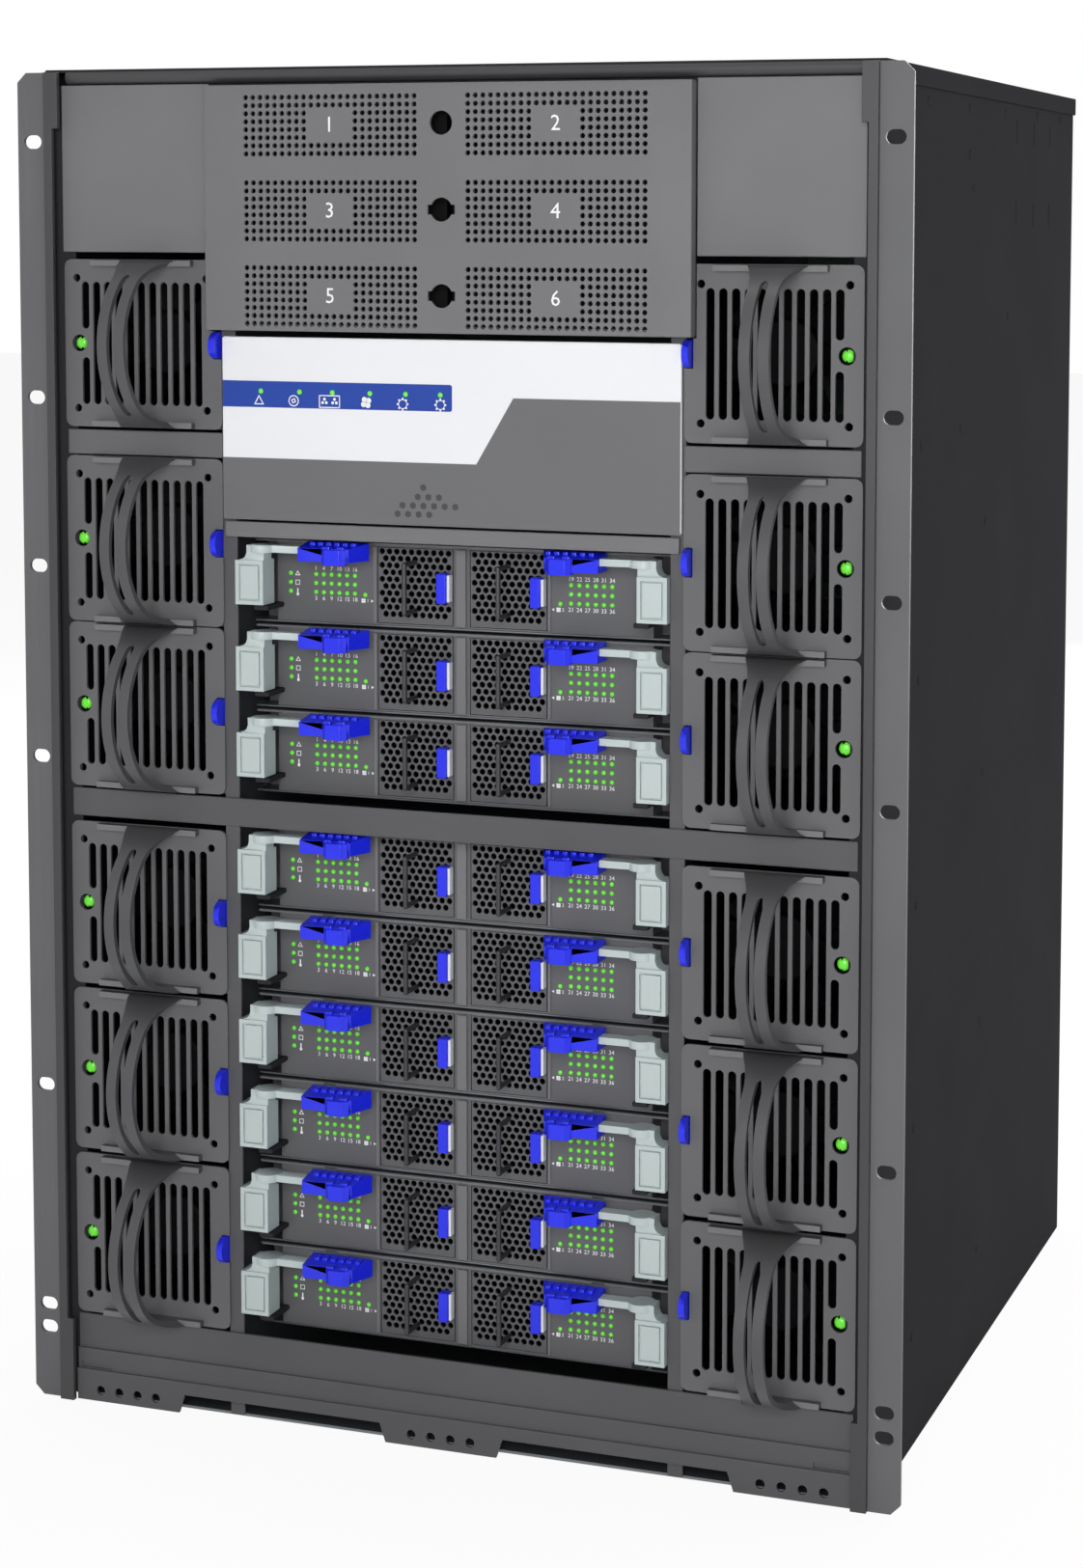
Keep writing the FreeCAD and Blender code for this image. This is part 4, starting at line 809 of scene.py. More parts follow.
# first column, first row, columns and rows of the four blocks of holes round a number
blocks = ((0, 0, LABEL["first"], PUNCH["rows"]), (far, 0, PUNCH["columns"] - far, PUNCH["rows"]),
          (LABEL["first"], 0, LABEL["wide"], LABEL["edge_rows"]),
          (LABEL["first"], PUNCH["rows"] - LABEL["edge_rows"], LABEL["wide"], LABEL["edge_rows"]))
punches = []
numbers = []
for row, field_z in enumerate(FIELD_Z):
    for column, field_x in enumerate(FIELD_X):
        left = field_x - pitch * (PUNCH["columns"] - 1) / 2
        low = field_z - pitch * (PUNCH["rows"] - 1) / 2
        for first_column, first_row, wide, tall in blocks:
            place = (left + first_column * pitch, pan_low.y + SHEET / 2, low + first_row * pitch)
            punch = repeat(rod("punch", place, PUNCH["radius"], 2 * SHEET, "Y", sides=8), wide, (pitch, 0, 0))
            punches.append(repeat(punch, tall, (0, 0, pitch)))
        digit = str(2 * row + column + 1)
        numbers.append(label("number", digit, field_x, pan_low.y - PRINT["ink"], field_z, NUMBER_SIZE))
combine(pan, join("punches", punches))
dress(pan, grey_coat, "supply_cover", "supply_cover")
dress(join("supply_numbers", numbers), white_ink, "supply_cover", "supply_cover")

# Fan drawers: a slotted grey powder-coated plate with a handle of bent sheet strap, a blue latch and a light.
# Behind the plate a black plastic housing holds the motor and its rotor; the drawer slides in from the front.
# One left-hand drawer is made with its plate's front at zero, and the right-hand one is its mirror image.
FAN_X = 170.4
FAN_Z = (568.6, 466.0, 378.0, 271.5, 181.5, 91.5)
FAN_PLATE = {"outer": 46.4, "inner": 44.6, "half_tall": 43.7, "corner": 4.0}
FAN_SLOT = {"wide": 4.3, "tall": 64.0, "pitch": 6.55, "first": -34.3, "count": 11, "gap": 15.0, "cut": 8.0}
FAN_SCREW = {"x": (-39.2, 36.0), "z": 34.0, "radius": 2.1}
# where the top plates are cut back beside the supply cover
RELIEF = (38.3, 7.4)
HANDLE = {"radius": 43.5, "thick": 3.0, "foot": 58.0, "steps": 32, "grip": 15.0, "grip_x": 4.5, "waist": 12.0,
          "lip": 4.0, "slot": 4.0, "slot_tall": 72.0, "past": 0.5}
FAN_LIGHT = {"x": -38.0, "bore": 4.4, "wall": 0.8, "gap": 0.1, "cup": 5.0, "cup_floor": 1.0}
FAN_LENS = {"radius": 3.3, "bulge": 1.8, "back": 0.9}
LATCH = {"inner": 40.4, "outer": 43.7, "radius": 6.8, "proud": 0.4, "gap": 0.5, "long": 20.0}
DUCT = {"half_wide": 38.0, "half_tall": 42.0, "long": 130.0, "wall": 1.2}
STRUT = {"half": 6.0, "thick": 3.0, "gap": 0.3}
ROTOR = {"radius": 35.0, "hub": 17.0, "front": 24.0, "long": 24.0, "blades": 7}
BLADE = {"half_chord": 9.0, "half_thick": 1.0, "root": 2.0, "pitch": 35.0}
# grey powder coat of the fan plates: satin, a little lighter than the frame
fan_coat = coat("fan_plate_coat", "#5c5c5e", grain=0.8, depth=0.05, rough=0.48, shine=0.35)
# satin coat of the strap handles: darker, so that the curve shows
handle_coat = coat("handle_coat", "#4c4c4e", grain=0.8, depth=0.04, rough=0.42, shine=0.3)
# glossy blue moulded plastic, on whatever is moved by hand
blue_plastic = coat("blue_plastic", "#1a26e0", grain=0.6, depth=0.01, rough=0.3, shine=0.45, spread=0.05)

plate = block("fan_plate", (-FAN_PLATE["outer"], 0, -FAN_PLATE["half_tall"]),
              (FAN_PLATE["inner"], SHEET, FAN_PLATE["half_tall"]))
round_edges(plate, "Y", FAN_PLATE["corner"], steps=4)
sheet_middle = SHEET / 2
slots = capsule("slot", (FAN_SLOT["first"] + FAN_SLOT["pitch"], sheet_middle, 0), FAN_SLOT["wide"],
                FAN_SLOT["tall"], FAN_SLOT["cut"])
combine(plate, repeat(slots, FAN_SLOT["count"] - 1, (FAN_SLOT["pitch"], 0, 0)))
short = (FAN_SLOT["tall"] - FAN_SLOT["gap"]) / 2
for side in (-1, 1):
    combine(plate, capsule("slot", (FAN_SLOT["first"], sheet_middle, side * (FAN_SLOT["tall"] - short) / 2),
                           FAN_SLOT["wide"], short, FAN_SLOT["cut"]))
    for x in FAN_SCREW["x"]:
        combine(plate, rod("screw_hole", (x, sheet_middle, side * FAN_SCREW["z"]), FAN_SCREW["radius"],
                           FAN_SLOT["cut"], "Y", sides=12))
combine(plate, rod("light_hole", (FAN_LIGHT["x"], sheet_middle, 0), FAN_LIGHT["bore"],
                   FAN_SLOT["cut"], "Y", sides=20))
reach = LATCH["radius"] + LATCH["gap"]
combine(plate, block("latch_notch", (LATCH["inner"] - LATCH["gap"], -PAST, -reach),
                     (FAN_PLATE["inner"] + PAST, PAST, reach)))
top_plate = place_copy(plate, "fan_top_plate")
combine(top_plate, block("relief", (RELIEF[0], -PAST, RELIEF[1]),
                         (FAN_PLATE["inner"] + PAST, PAST, FAN_PLATE["half_tall"] + PAST)))
soften(plate, edge=0.35)
soften(top_plate, edge=0.35)

start()
bpy.ops.mesh.primitive_plane_add(size=1, rotation=(math.pi / 2, 0, 0),
                                 location=(0, 0, (HANDLE["thick"] / 2 - HANDLE["radius"]) * MM))
handle = bpy.context.object
handle.name = "fan_handle"
handle.scale = (HANDLE["foot"] * MM, HANDLE["thick"] * MM, 1)
settle(handle)
bpy.ops.object.mode_set(mode="EDIT")
bpy.ops.mesh.select_all(action="SELECT")
bpy.ops.mesh.spin(steps=HANDLE["steps"], angle=math.pi, center=(0, 0, 0), axis=(1, 0, 0))
bpy.ops.mesh.select_all(action="SELECT")
bpy.ops.mesh.remove_doubles(threshold=0.00001)
bpy.ops.mesh.normals_make_consistent(inside=False)
bpy.ops.object.mode_set(mode="OBJECT")
strap_front = -HANDLE["radius"] - THROUGH
waist_half = HANDLE["radius"] + HANDLE["past"]
for side in (-1, 1):
    near = HANDLE["grip_x"] + side * HANDLE["grip"] / 2
    waist = block("waist", (near, strap_front, -waist_half),
                  (near + side * HANDLE["foot"], -HANDLE["lip"], waist_half))
    round_edges(waist, "Y", HANDLE["waist"], steps=8, keep=lambda point: abs(point.x - near) < 0.1)
    combine(handle, waist)
combine(handle, capsule("grip_slot", (HANDLE["grip_x"], strap_front / 2, 0), HANDLE["slot"],
                        HANDLE["slot_tall"], -strap_front))
soften(handle, edge=0.5, steps=2)

cup = rod("fan_light", (FAN_LIGHT["x"], SHEET + FAN_LIGHT["cup"] / 2, 0),
          FAN_LIGHT["bore"] + FAN_LIGHT["wall"], FAN_LIGHT["cup"], "Y", sides=24)
combine(cup, rod("inside", (FAN_LIGHT["x"], SHEET, 0), FAN_LIGHT["bore"] - FAN_LIGHT["gap"],
                 2 * (FAN_LIGHT["cup"] - FAN_LIGHT["cup_floor"]), "Y", sides=24))
lens = dome("fan_lens", (FAN_LIGHT["x"], FAN_LENS["back"] + FAN_LENS["bulge"], 0), FAN_LENS["radius"],
            FAN_LENS["bulge"])

latch = rod("fan_latch", ((LATCH["inner"] + LATCH["outer"]) / 2, -LATCH["proud"], 0), LATCH["radius"],
            LATCH["outer"] - LATCH["inner"], "X", sides=32)
combine(latch, block("tail", (LATCH["inner"], -LATCH["proud"], -LATCH["radius"]),
                     (LATCH["outer"], LATCH["long"], LATCH["radius"])), "UNION")
soften(latch, edge=1.2, steps=3)

duct_end = SHEET + DUCT["long"]
duct = block("fan_duct", (-DUCT["half_wide"], SHEET, -DUCT["half_tall"]),
             (DUCT["half_wide"], duct_end, DUCT["half_tall"]))
bore_wide = DUCT["half_wide"] - DUCT["wall"]
bore_tall = DUCT["half_tall"] - DUCT["wall"]
combine(duct, block("inside", (-bore_wide, -PAST, -bore_tall), (bore_wide, duct_end + PAST, bore_tall)))
strut_y = ROTOR["front"] + ROTOR["long"] + STRUT["gap"]
combine(duct, block("strut", (-DUCT["half_wide"], strut_y, -STRUT["half"]),
                    (DUCT["half_wide"], strut_y + STRUT["thick"], STRUT["half"])), "UNION")
soften(duct, edge=0.4)

rotor_y = ROTOR["front"] + ROTOR["long"] / 2
blades = [soften(rod("hub", (0, rotor_y, 0), ROTOR["hub"], ROTOR["long"], "Y", sides=32), edge=1.5, steps=3)]
for index in range(ROTOR["blades"]):
    blade = block("blade", (-BLADE["half_chord"], -BLADE["half_thick"], ROTOR["hub"] - BLADE["root"]),
                  (BLADE["half_chord"], BLADE["half_thick"], ROTOR["radius"]))
    pitch_turn = Matrix.Rotation(math.radians(BLADE["pitch"]), 4, "Z")
    ring_turn = Matrix.Rotation(2 * math.pi * index / ROTOR["blades"], 4, "Y")
    blade.data.transform(ring_turn @ Matrix.Translation((0, rotor_y * MM, 0)) @ pitch_turn)
    blades.append(blade)
rotor = join("fan_rotor", blades)


def painted_highlight_edges(strap):
    """Paint a highlight with the lighter coat of the upper panels on a strap's cut edges that look forward,
    near the plate, where they catch the light.
    """
    strap.data.materials.append(grey_coat)
    for face in strap.data.polygons:
        if face.normal.y < -0.9 and face.center.y > (PLATE_FRONT - HANDLE["lip"] - HANDLE["past"]) * MM:
            face.material_index = 1


handed = {"plate": (plate, fan_coat), "top_plate": (top_plate, fan_coat), "light": (cup, black_plastic),
          "lens": (lens, green_lens), "latch": (latch, blue_plastic)}
common = {"handle": (handle, handle_coat), "duct": (duct, black_plastic), "rotor": (rotor, black_plastic)}
mirrored = {key: (other_hand(item, key), material) for key, (item, material) in handed.items()}
for bank, side, patterns in (("left", -1, {**handed, **common}), ("right", 1, {**mirrored, **common})):
    for index, z in enumerate(FAN_Z, 1):
        body = "fan_drawer_%s_%d" % (bank, index)
        for key, (item, material) in patterns.items():
            if key != ("plate" if index == 1 else "top_plate"):
                twin = place_copy(item, "fan_%s_%d_%s" % (bank, index, key), side * FAN_X, PLATE_FRONT, z)
                dress(twin, material, body, body)
                # the forward cut edges of each handle get a painted highlight in the lighter panel grey
                if key == "handle":
                    painted_highlight_edges(twin)
drop([item for patterns in (handed, mirrored, common) for item, material in patterns.values()])

# Spine modules: trays of zinc-plated sheet with a grey coated face, pushed in from the front on guides.
# The face carries two windows for the spine's fans, rows of green lights and printed numbers.
# One spine is made with its face's lower edge at zero and copied to its nine places.
SPINE_FRONT = front_y + 22.0
SPINE_PITCH = 45.0
SPINE_Z = [334.0 + SPINE_PITCH * index for index in (2, 1, 0)]
SPINE_Z += [47.5 + SPINE_PITCH * index for index in (5, 4, 3, 2, 1, 0)]
SPINE = {"half": 116.8, "tall": 43.6, "long": 190.0, "sheet": 1.2, "face_half": 104.0, "face_deep": 14.0,
         "overlap": 0.1}
WINDOW = {"inner": 4.5, "outer": 47.0, "edge": 2.0}
FOLD = {"near": 47.3, "far": 49.0, "proud": 0.8}
FACE_POST = {"half": 2.7, "proud": 1.6}
LID_EDGE = {"inset": 1.0, "proud": 1.0, "notch": (72.0, 78.5)}
BOARD = {"half": 115.0, "front": 70.0, "low": 8.0, "high": 10.4}
SINK = {"x": (-62.0, 0.0, 62.0), "wide": 44.0, "back": 30.0, "base": 3.0, "tall": 22.0, "fin": 1.4,
        "fins": 12}
BRACKET = {"near": 100.0, "far": 108.0, "front": -19.5, "low": 8.3, "high": 10.8}
PLUG_ROW = {"half": 80.0, "low": 10.4, "high": 24.4, "proud": 2.0}
LIGHTS = {"near": 59.8, "far": 81.9, "columns": 6, "rows": (26.0, 21.3, 16.6), "radius": 1.3, "bulge": 0.8}
# the numbers over and under the lights at each side, and how far they stand off
PORT_NUMBERS = {-1: ("1 4 7 10 13 16", "3 6 9 12 15 18"), 1: ("19 22 25 28 31 34", "21 24 27 30 33 36")}
PORT_PRINT = {"size": 3.1, "over": 3.0, "under": 3.2}
# the light of each fan cell, with a fan, a number and an arrow under it
CELL_LIGHT = {"x": 54.0, "drop": 0.4}
CELL_PRINT = {"drop": 3.4, "fan_x": -1.0, "out": 0.75, "blade": 0.7, "number_x": 1.5, "size": 2.4,
              "arrow_x": 3.8, "arrow": 0.9}
# the three state lights at the left and their marks
STATE = {"light_x": -96.4, "mark_x": -92.4, "line": 0.35, "warning": 1.7, "warning_drop": 0.2, "module": 1.8,
         "stem": 1.6, "stem_deep": 0.03, "bulb": 0.8, "bulb_drop": 1.5}
# grey powder coat of the spine faces: satin, close to that of the fan plates
spine_coat = coat("spine_face_coat", "#5b5b5d", grain=0.8, depth=0.05, rough=0.5, shine=0.3)

sheet = SPINE["sheet"]
half = SPINE["half"]
face_half = SPINE["face_half"]
tall = SPINE["tall"]
face_back = SPINE["face_deep"] + sheet
lid_low = tall - sheet
window_top = tall - WINDOW["edge"]
face = block("spine_face", (-face_half, 0, sheet), (face_half, face_back, lid_low))
combine(face, block("inside", (sheet - face_half, sheet, -PAST),
                    (face_half - sheet, face_back + PAST, tall + PAST)))
for side in (-1, 1):
    combine(face, block("shoulder", (side * (face_half - SPINE["overlap"]), SPINE["face_deep"], sheet),
                        (side * (half - sheet), face_back, lid_low)), "UNION")
    combine(face, block("window", (side * WINDOW["inner"], -PAST, WINDOW["edge"]),
                        (side * WINDOW["outer"], PAST, window_top)))
soften(face, edge=0.3)
trims = []
for side in (-1, 1):
    trims.append(block("fold", (side * FOLD["near"], -FOLD["proud"], WINDOW["edge"]),
                       (side * FOLD["far"], 0, window_top)))
trims.append(block("post", (-FACE_POST["half"], -FACE_POST["proud"], WINDOW["edge"]),
                   (FACE_POST["half"], 0, window_top)))
edge_half = half - LID_EDGE["inset"]
lid_edge = block("lid_edge", (-edge_half, -LID_EDGE["proud"], lid_low), (edge_half, 0, tall))
for side in (-1, 1):
    near, far = LID_EDGE["notch"]
    combine(lid_edge, block("notch", (side * near, -PAST, lid_low - PAST), (side * far, PAST, tall + PAST)))
trim = soften(join("spine_trim", trims + [lid_edge]), edge=0.25)
case = block("spine_case", (-half, face_back, 0), (half, SPINE["long"], tall))
combine(case, block("inside", (sheet - half, 0, sheet), (half - sheet, SPINE["long"] + PAST, lid_low)))
floor_sheet = block("spine_floor", (-half, 0, 0), (half, face_back, sheet))
lid_sheet = block("spine_lid", (-half, 0, lid_low), (half, face_back, tall))
case = soften(join("spine_case", [case, floor_sheet, lid_sheet]), edge=0.3)
board = block("spine_board", (-BOARD["half"], BOARD["front"], BOARD["low"]),
              (BOARD["half"], SPINE["long"], BOARD["high"]))
soften(board, edge=0.3)
sink_front = BOARD["front"] + SINK["back"]
sink_back = sink_front + SINK["wide"]
fin_low = BOARD["high"] + SINK["base"]
fin_high = BOARD["high"] + SINK["tall"]
fin_step = (SINK["wide"] - SINK["fin"]) / (SINK["fins"] - 1)
sink_parts = []
for x in SINK["x"]:
    left = x - SINK["wide"] / 2
    sink_parts.append(block("sink", (left, sink_front, BOARD["high"]),
                            (left + SINK["wide"], sink_back, fin_low)))
    fin = block("fin", (left, sink_front, fin_low), (left + SINK["fin"], sink_back, fin_high))
    sink_parts.append(repeat(fin, SINK["fins"], (fin_step, 0, 0)))
sinks = soften(join("spine_sinks", sink_parts), edge=0.2)
brackets = []
for side in (-1, 1):
    brackets.append(block("bracket", (side * BRACKET["near"], BRACKET["front"], BRACKET["low"]),
                          (side * BRACKET["far"], 0, BRACKET["high"])))
bracket = soften(join("spine_brackets", brackets), edge=0.5)
plug_row = block("spine_plug", (-PLUG_ROW["half"], SPINE["long"], PLUG_ROW["low"]),
                 (PLUG_ROW["half"], SPINE["long"] + PLUG_ROW["proud"], PLUG_ROW["high"]))
soften(plug_row, edge=0.6)


def spine_light(x, z):
    """One of the small lights on a spine's face."""
    return dome("lamp", (x, 0, z), LIGHTS["radius"], LIGHTS["bulge"], segments=8)


ink_y = -PRINT["ink"]
top_row, middle_row, low_row = LIGHTS["rows"]
lamp_step = (LIGHTS["far"] - LIGHTS["near"]) / (LIGHTS["columns"] - 1)
mark_z = low_row - CELL_PRINT["drop"]
lamps = []
prints = []
for side in (-1, 1):
    left = LIGHTS["near"] if side > 0 else -LIGHTS["far"]
    for z in LIGHTS["rows"]:
        lamps.append(repeat(spine_light(left, z), LIGHTS["columns"], (lamp_step, 0, 0)))
    for words, z in zip(PORT_NUMBERS[side], (top_row + PORT_PRINT["over"], low_row - PORT_PRINT["under"])):
        for column, word in enumerate(words.split()):
            prints.append(label("number", word, left + column * lamp_step, ink_y, z, PORT_PRINT["size"]))
    cell_x = side * CELL_LIGHT["x"]
    lamps.append(spine_light(cell_x, low_row - CELL_LIGHT["drop"]))
    prints += petals(cell_x + CELL_PRINT["fan_x"], ink_y, mark_z, count=4, first=45, out=CELL_PRINT["out"],
                     radius=CELL_PRINT["blade"], sides=6)
    prints.append(label("number", "1" if side < 0 else "2", cell_x + CELL_PRINT["number_x"], ink_y, mark_z,
                        CELL_PRINT["size"]))
    prints.append(mark("arrow", cell_x - side * CELL_PRINT["arrow_x"], ink_y, mark_z, CELL_PRINT["arrow"],
                       sides=3, turn=-90 * side))
for z in LIGHTS["rows"]:
    lamps.append(spine_light(STATE["light_x"], z))
mark_x = STATE["mark_x"]
prints.append(mark("warning", mark_x, ink_y, top_row - STATE["warning_drop"], STATE["warning"], sides=3,
                   hollow=STATE["line"]))
prints.append(mark("module", mark_x, ink_y, middle_row, STATE["module"], sides=4,
                   hollow=STATE["line"], turn=45))
prints.append(block("stem", (mark_x - STATE["line"], ink_y - STATE["stem_deep"], low_row - STATE["stem"]),
                    (mark_x + STATE["line"], ink_y, low_row + STATE["stem"])))
prints.append(mark("bulb", mark_x, ink_y, low_row - STATE["bulb_drop"], STATE["bulb"], sides=10))
# the brackets under the lever blocks take the dark coat as painted shade, so that they stay dark in the
# shadow under the blocks
spine_set = ((face, spine_coat), (trim, grey_coat), (case, cage_steel), (bracket, dark_coat_and_painted_shade),
             (join("spine_lamps", lamps), green_lens), (join("spine_prints", prints), white_ink),
             (plug_row, black_plastic), (board, board_resin), (sinks, zinc))
for index, z in enumerate(SPINE_Z, 1):
    body = "spine_%d" % index
    for pattern, material in spine_set:
        twin = place_copy(pattern, "%s_%s" % (body, pattern.name.split("_")[1]), 0, SPINE_FRONT, z)
        dress(twin, material, body, body)
drop([pattern for pattern, material in spine_set])

# Ejector levers: light grey painted zinc castings that turn on upright pins, two to a spine.
# A square block hooks the module in; a blue moulded grip is pressed on the arm's inner end.
# The right-hand lever is made, and the left-hand one is its mirror image.
PIVOT = {"x": 104.0, "y": -15.0, "disc": 7.0, "proud": 0.4}
HOOK = {"inner": 102.2, "outer": 118.0, "front": -20.6, "back": -7.6, "low": 11.1, "high": 34.1, "rim": 2.0,
        "recess": 1.5, "corner": 2.4}
PAD = {"gap": 0.8, "sunk": 0.3, "seat": 0.4}
NECK = {"outer": 112.0, "front": -19.5, "back": -10.5, "low": 33.5}
ARM = {"inner": 60.0, "front": -18.6, "back": -11.2, "low": 38.4, "high": 42.0}
GUSSET = {"overlap": 0.2, "wide": 3.6, "low": 33.8, "high": 37.8, "radius": 3.6, "centre": 0.2}
GRIP = {"inner": 48.0, "outer": 82.0, "front": -21.5, "back": -8.0, "low": 34.8, "high": 41.8, "rise": 2.4}
NOSE = {"near": 54.8, "far": 68.2, "front": -24.6, "back": -19.0, "below": 1.2, "under_top": 0.3,
        "corner": 2.6}
RIDGE = {"near": 52.0, "wide": 2.8, "front": -16.0, "back": -10.0, "low": 41.0, "high": 44.6, "pitch": 4.6,
         "count": 6}
NOSE_RIDGE = {"x": ((55.5, 59.5), (63.5, 67.5)), "front": -22.8, "back": -18.0, "low": 40.6, "high": 43.0}
# light grey paint on cast zinc: satin, with a trace of the casting's grain
cast_paint = coat("light_grey_cast_paint", "#b2bdbc", grain=1.2, depth=0.04, rough=0.38, shine=0.5,
                  spread=0.06)

casting = block("casting", (HOOK["inner"], HOOK["front"], HOOK["low"]),
                (HOOK["outer"], HOOK["back"], HOOK["high"]))
round_edges(casting, "Z", HOOK["corner"], steps=3,
            keep=lambda point: point.x > PIVOT["x"] and point.y > PIVOT["y"])
rim = HOOK["rim"]
recess_back = HOOK["front"] + HOOK["recess"]
combine(casting, block("recess", (HOOK["inner"] + rim, HOOK["front"] - PAST, HOOK["low"] + rim),
                       (HOOK["outer"] - rim, recess_back, HOOK["high"] - rim)))
gusset = block("gusset", (NECK["outer"] - GUSSET["overlap"], NECK["front"], GUSSET["low"]),
               (NECK["outer"] + GUSSET["wide"], NECK["back"], GUSSET["high"]))
combine(gusset, rod("hollow", (NECK["outer"] + GUSSET["wide"] + GUSSET["centre"], PIVOT["y"],
                               GUSSET["high"] + GUSSET["centre"]), GUSSET["radius"], THROUGH, "Y", sides=24))
for piece in (block("neck", (HOOK["inner"], NECK["front"], NECK["low"]),
                    (NECK["outer"], NECK["back"], ARM["high"])),
              block("arm", (ARM["inner"], ARM["front"], ARM["low"]), (PIVOT["x"], ARM["back"], ARM["high"])),
              rod("disc", (PIVOT["x"], PIVOT["y"], (ARM["low"] + ARM["high"]) / 2), PIVOT["disc"],
                  ARM["high"] - ARM["low"] + PIVOT["proud"], "Z", sides=32),
              gusset):
    combine(casting, piece, "UNION")
soften(casting, edge=0.45, steps=2)
inset = rim + PAD["gap"]
pad = block("lever_pad", (HOOK["inner"] + inset, HOOK["front"] + PAD["sunk"], HOOK["low"] + inset),
            (HOOK["outer"] - inset, recess_back + PAD["seat"], HOOK["high"] - inset))
casting = join("casting", [casting, soften(pad, edge=0.4, steps=2)])

grip = block("grip", (GRIP["inner"], GRIP["front"], GRIP["low"]), (GRIP["outer"], GRIP["back"], GRIP["high"]))
for corner in grip.data.vertices:
    if corner.co.y > (GRIP["back"] - 1) * MM and corner.co.z > (GRIP["high"] - 1) * MM:
        corner.co.z += GRIP["rise"] * MM
nose = block("nose", (NOSE["near"], NOSE["front"], GRIP["low"] - NOSE["below"]),
             (NOSE["far"], NOSE["back"], GRIP["high"] - NOSE["under_top"]))
round_edges(nose, "Z", NOSE["corner"], steps=1, keep=lambda point: point.y < NOSE["back"] - 1)
combine(grip, nose, "UNION")
slice_off(grip, (GRIP["inner"], GRIP["back"], 0),
          (NOSE["front"] - GRIP["back"], GRIP["inner"] - NOSE["near"], 0))
soften(grip, edge=0.7, steps=3)
ridge = block("ridge", (RIDGE["near"], RIDGE["front"], RIDGE["low"]),
              (RIDGE["near"] + RIDGE["wide"], RIDGE["back"], RIDGE["high"]))
ridges = [repeat(soften(ridge, edge=0.7, steps=2), RIDGE["count"], (RIDGE["pitch"], 0, 0))]
for near, far in NOSE_RIDGE["x"]:
    ridge = block("ridge", (near, NOSE_RIDGE["front"], NOSE_RIDGE["low"]),
                  (far, NOSE_RIDGE["back"], NOSE_RIDGE["high"]))
    ridges.append(soften(ridge, edge=0.7, steps=2))
grip = join("grip", [grip] + ridges)

right_set = {"casting": (casting, cast_paint), "grip": (grip, blue_plastic)}
left_set = {key: (other_hand(item, key + "_left"), material) for key, (item, material) in right_set.items()}
for bank, patterns in (("left", left_set), ("right", right_set)):
    for index, z in enumerate(SPINE_Z, 1):
        body = "lever_%s_%d" % (bank, index)
        for key, (item, material) in patterns.items():
            dress(place_copy(item, "%s_%s" % (body, key), 0, SPINE_FRONT, z), material, body, body)
drop([item for patterns in (left_set, right_set) for item, material in patterns.values()])

# Spine fans: two small fan cells in each spine, a dark coated perforated face before a black housing.
# A bent steel wire serves as the handle, and a blue thumb latch with a white strip holds the right edge.
CELL = {"inner": 5.0, "outer": 46.5, "low": 2.3, "high": 41.3, "long": 60.0, "face": 1.0, "wall": 1.0}
GRILLE = {"radius": 1.65, "pitch": 4.12, "row": 3.6, "side": 2.1, "top": 1.9, "cut": 4.0}
WIRE = {"radius": 1.3, "half": 12.5, "reach": 14.0}
TAB = {"wide": 6.9, "tall": 15.6, "deep": 6.0}
STRIP = {"wide": 1.5, "set_back": 1.4, "short": 0.8}
# dark coat of the grilles: satin, so that the holes stand out
grille_coat = coat("dark_grille_coat", "#565658", grain=0.7, depth=0.03, rough=0.45, shine=0.35)
# blackened spring steel wire: dark with a narrow sheen
wire_steel = coat("blackened_wire", "#2a2a2c", grain=0.5, depth=0.02, rough=0.35, shine=0.5, spread=0.1)

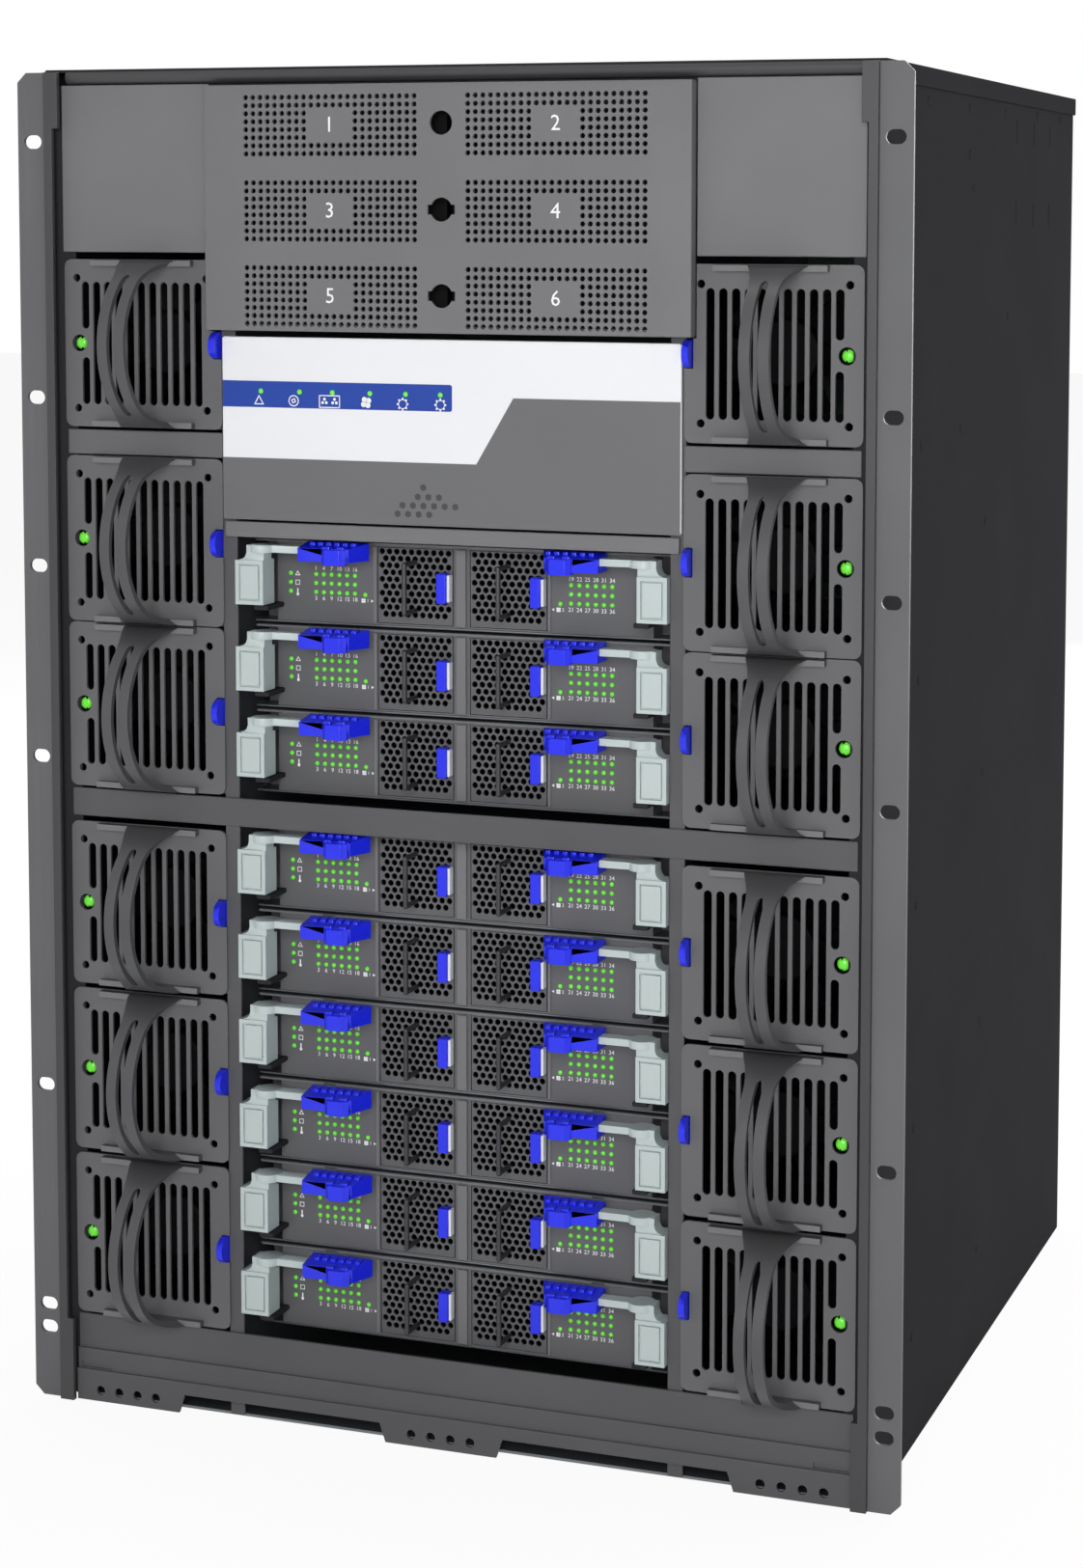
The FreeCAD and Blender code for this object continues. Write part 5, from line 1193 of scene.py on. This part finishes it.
grille = block("grille", (CELL["inner"], 0, CELL["low"]), (CELL["outer"], CELL["face"], CELL["high"]))
columns = int((CELL["outer"] - CELL["inner"]) / GRILLE["pitch"])
rows = int((CELL["high"] - CELL["low"]) / GRILLE["row"])
punches = []
for row in range(rows):
    shift = GRILLE["pitch"] / 2 * (row % 2)
    place = (CELL["inner"] + GRILLE["side"] + shift, CELL["face"] / 2,
             CELL["high"] - GRILLE["top"] - row * GRILLE["row"])
    punch = rod("punch", place, GRILLE["radius"], GRILLE["cut"], "Y", sides=8)
    punches.append(repeat(punch, columns - row % 2, (GRILLE["pitch"], 0, 0)))
combine(grille, join("punches", punches))
wall = CELL["wall"]
housing = block("housing", (CELL["inner"], CELL["face"], CELL["low"]),
                (CELL["outer"], CELL["long"], CELL["high"]))
combine(housing, block("inside", (CELL["inner"] + wall, -PAST, CELL["low"] + wall),
                       (CELL["outer"] - wall, CELL["long"] - wall, CELL["high"] - wall)))
centre_x = (CELL["inner"] + CELL["outer"]) / 2
centre_z = (CELL["low"] + CELL["high"]) / 2
wire_parts = [rod("bar", (centre_x, -WIRE["reach"], centre_z), WIRE["radius"], 2 * WIRE["half"], "Z",
                  sides=12)]
for side in (-1, 1):
    z = centre_z + side * WIRE["half"]
    wire_parts.append(rod("leg", (centre_x, -WIRE["reach"] / 2, z), WIRE["radius"], WIRE["reach"], "Y",
                          sides=12))
    wire_parts.append(dome("elbow", (centre_x, -WIRE["reach"], z), WIRE["radius"], WIRE["radius"]))
wire = join("wire", wire_parts)
pick(wire)
bpy.ops.object.shade_smooth_by_angle(angle=SHARP_ANGLE)
tab_half = TAB["tall"] / 2
strip_left = CELL["outer"] - STRIP["wide"]
tab = block("tab", (CELL["outer"] - TAB["wide"], -TAB["deep"], centre_z - tab_half),
            (strip_left, 0, centre_z + tab_half))
soften(tab, edge=0.7, steps=3)
strip_half = tab_half - STRIP["short"]
strip = block("strip", (strip_left, STRIP["set_back"] - TAB["deep"], centre_z - strip_half),
              (CELL["outer"], 0, centre_z + strip_half))
soften(strip, edge=0.4, steps=2)
cell_set = ((grille, grille_coat), (housing, black_plastic), (wire, wire_steel), (tab, blue_plastic),
            (strip, white_plastic))
for index, z in enumerate(SPINE_Z, 1):
    body = "spine_fans_%d" % index
    for bank, shift in (("right", 0.0), ("left", -CELL["inner"] - CELL["outer"])):
        for pattern, material in cell_set:
            twin = place_copy(pattern, "%s_%s_%s" % (body, bank, pattern.name), shift, SPINE_FRONT, z)
            dress(twin, material, body, body)
drop([pattern for pattern, material in cell_set])
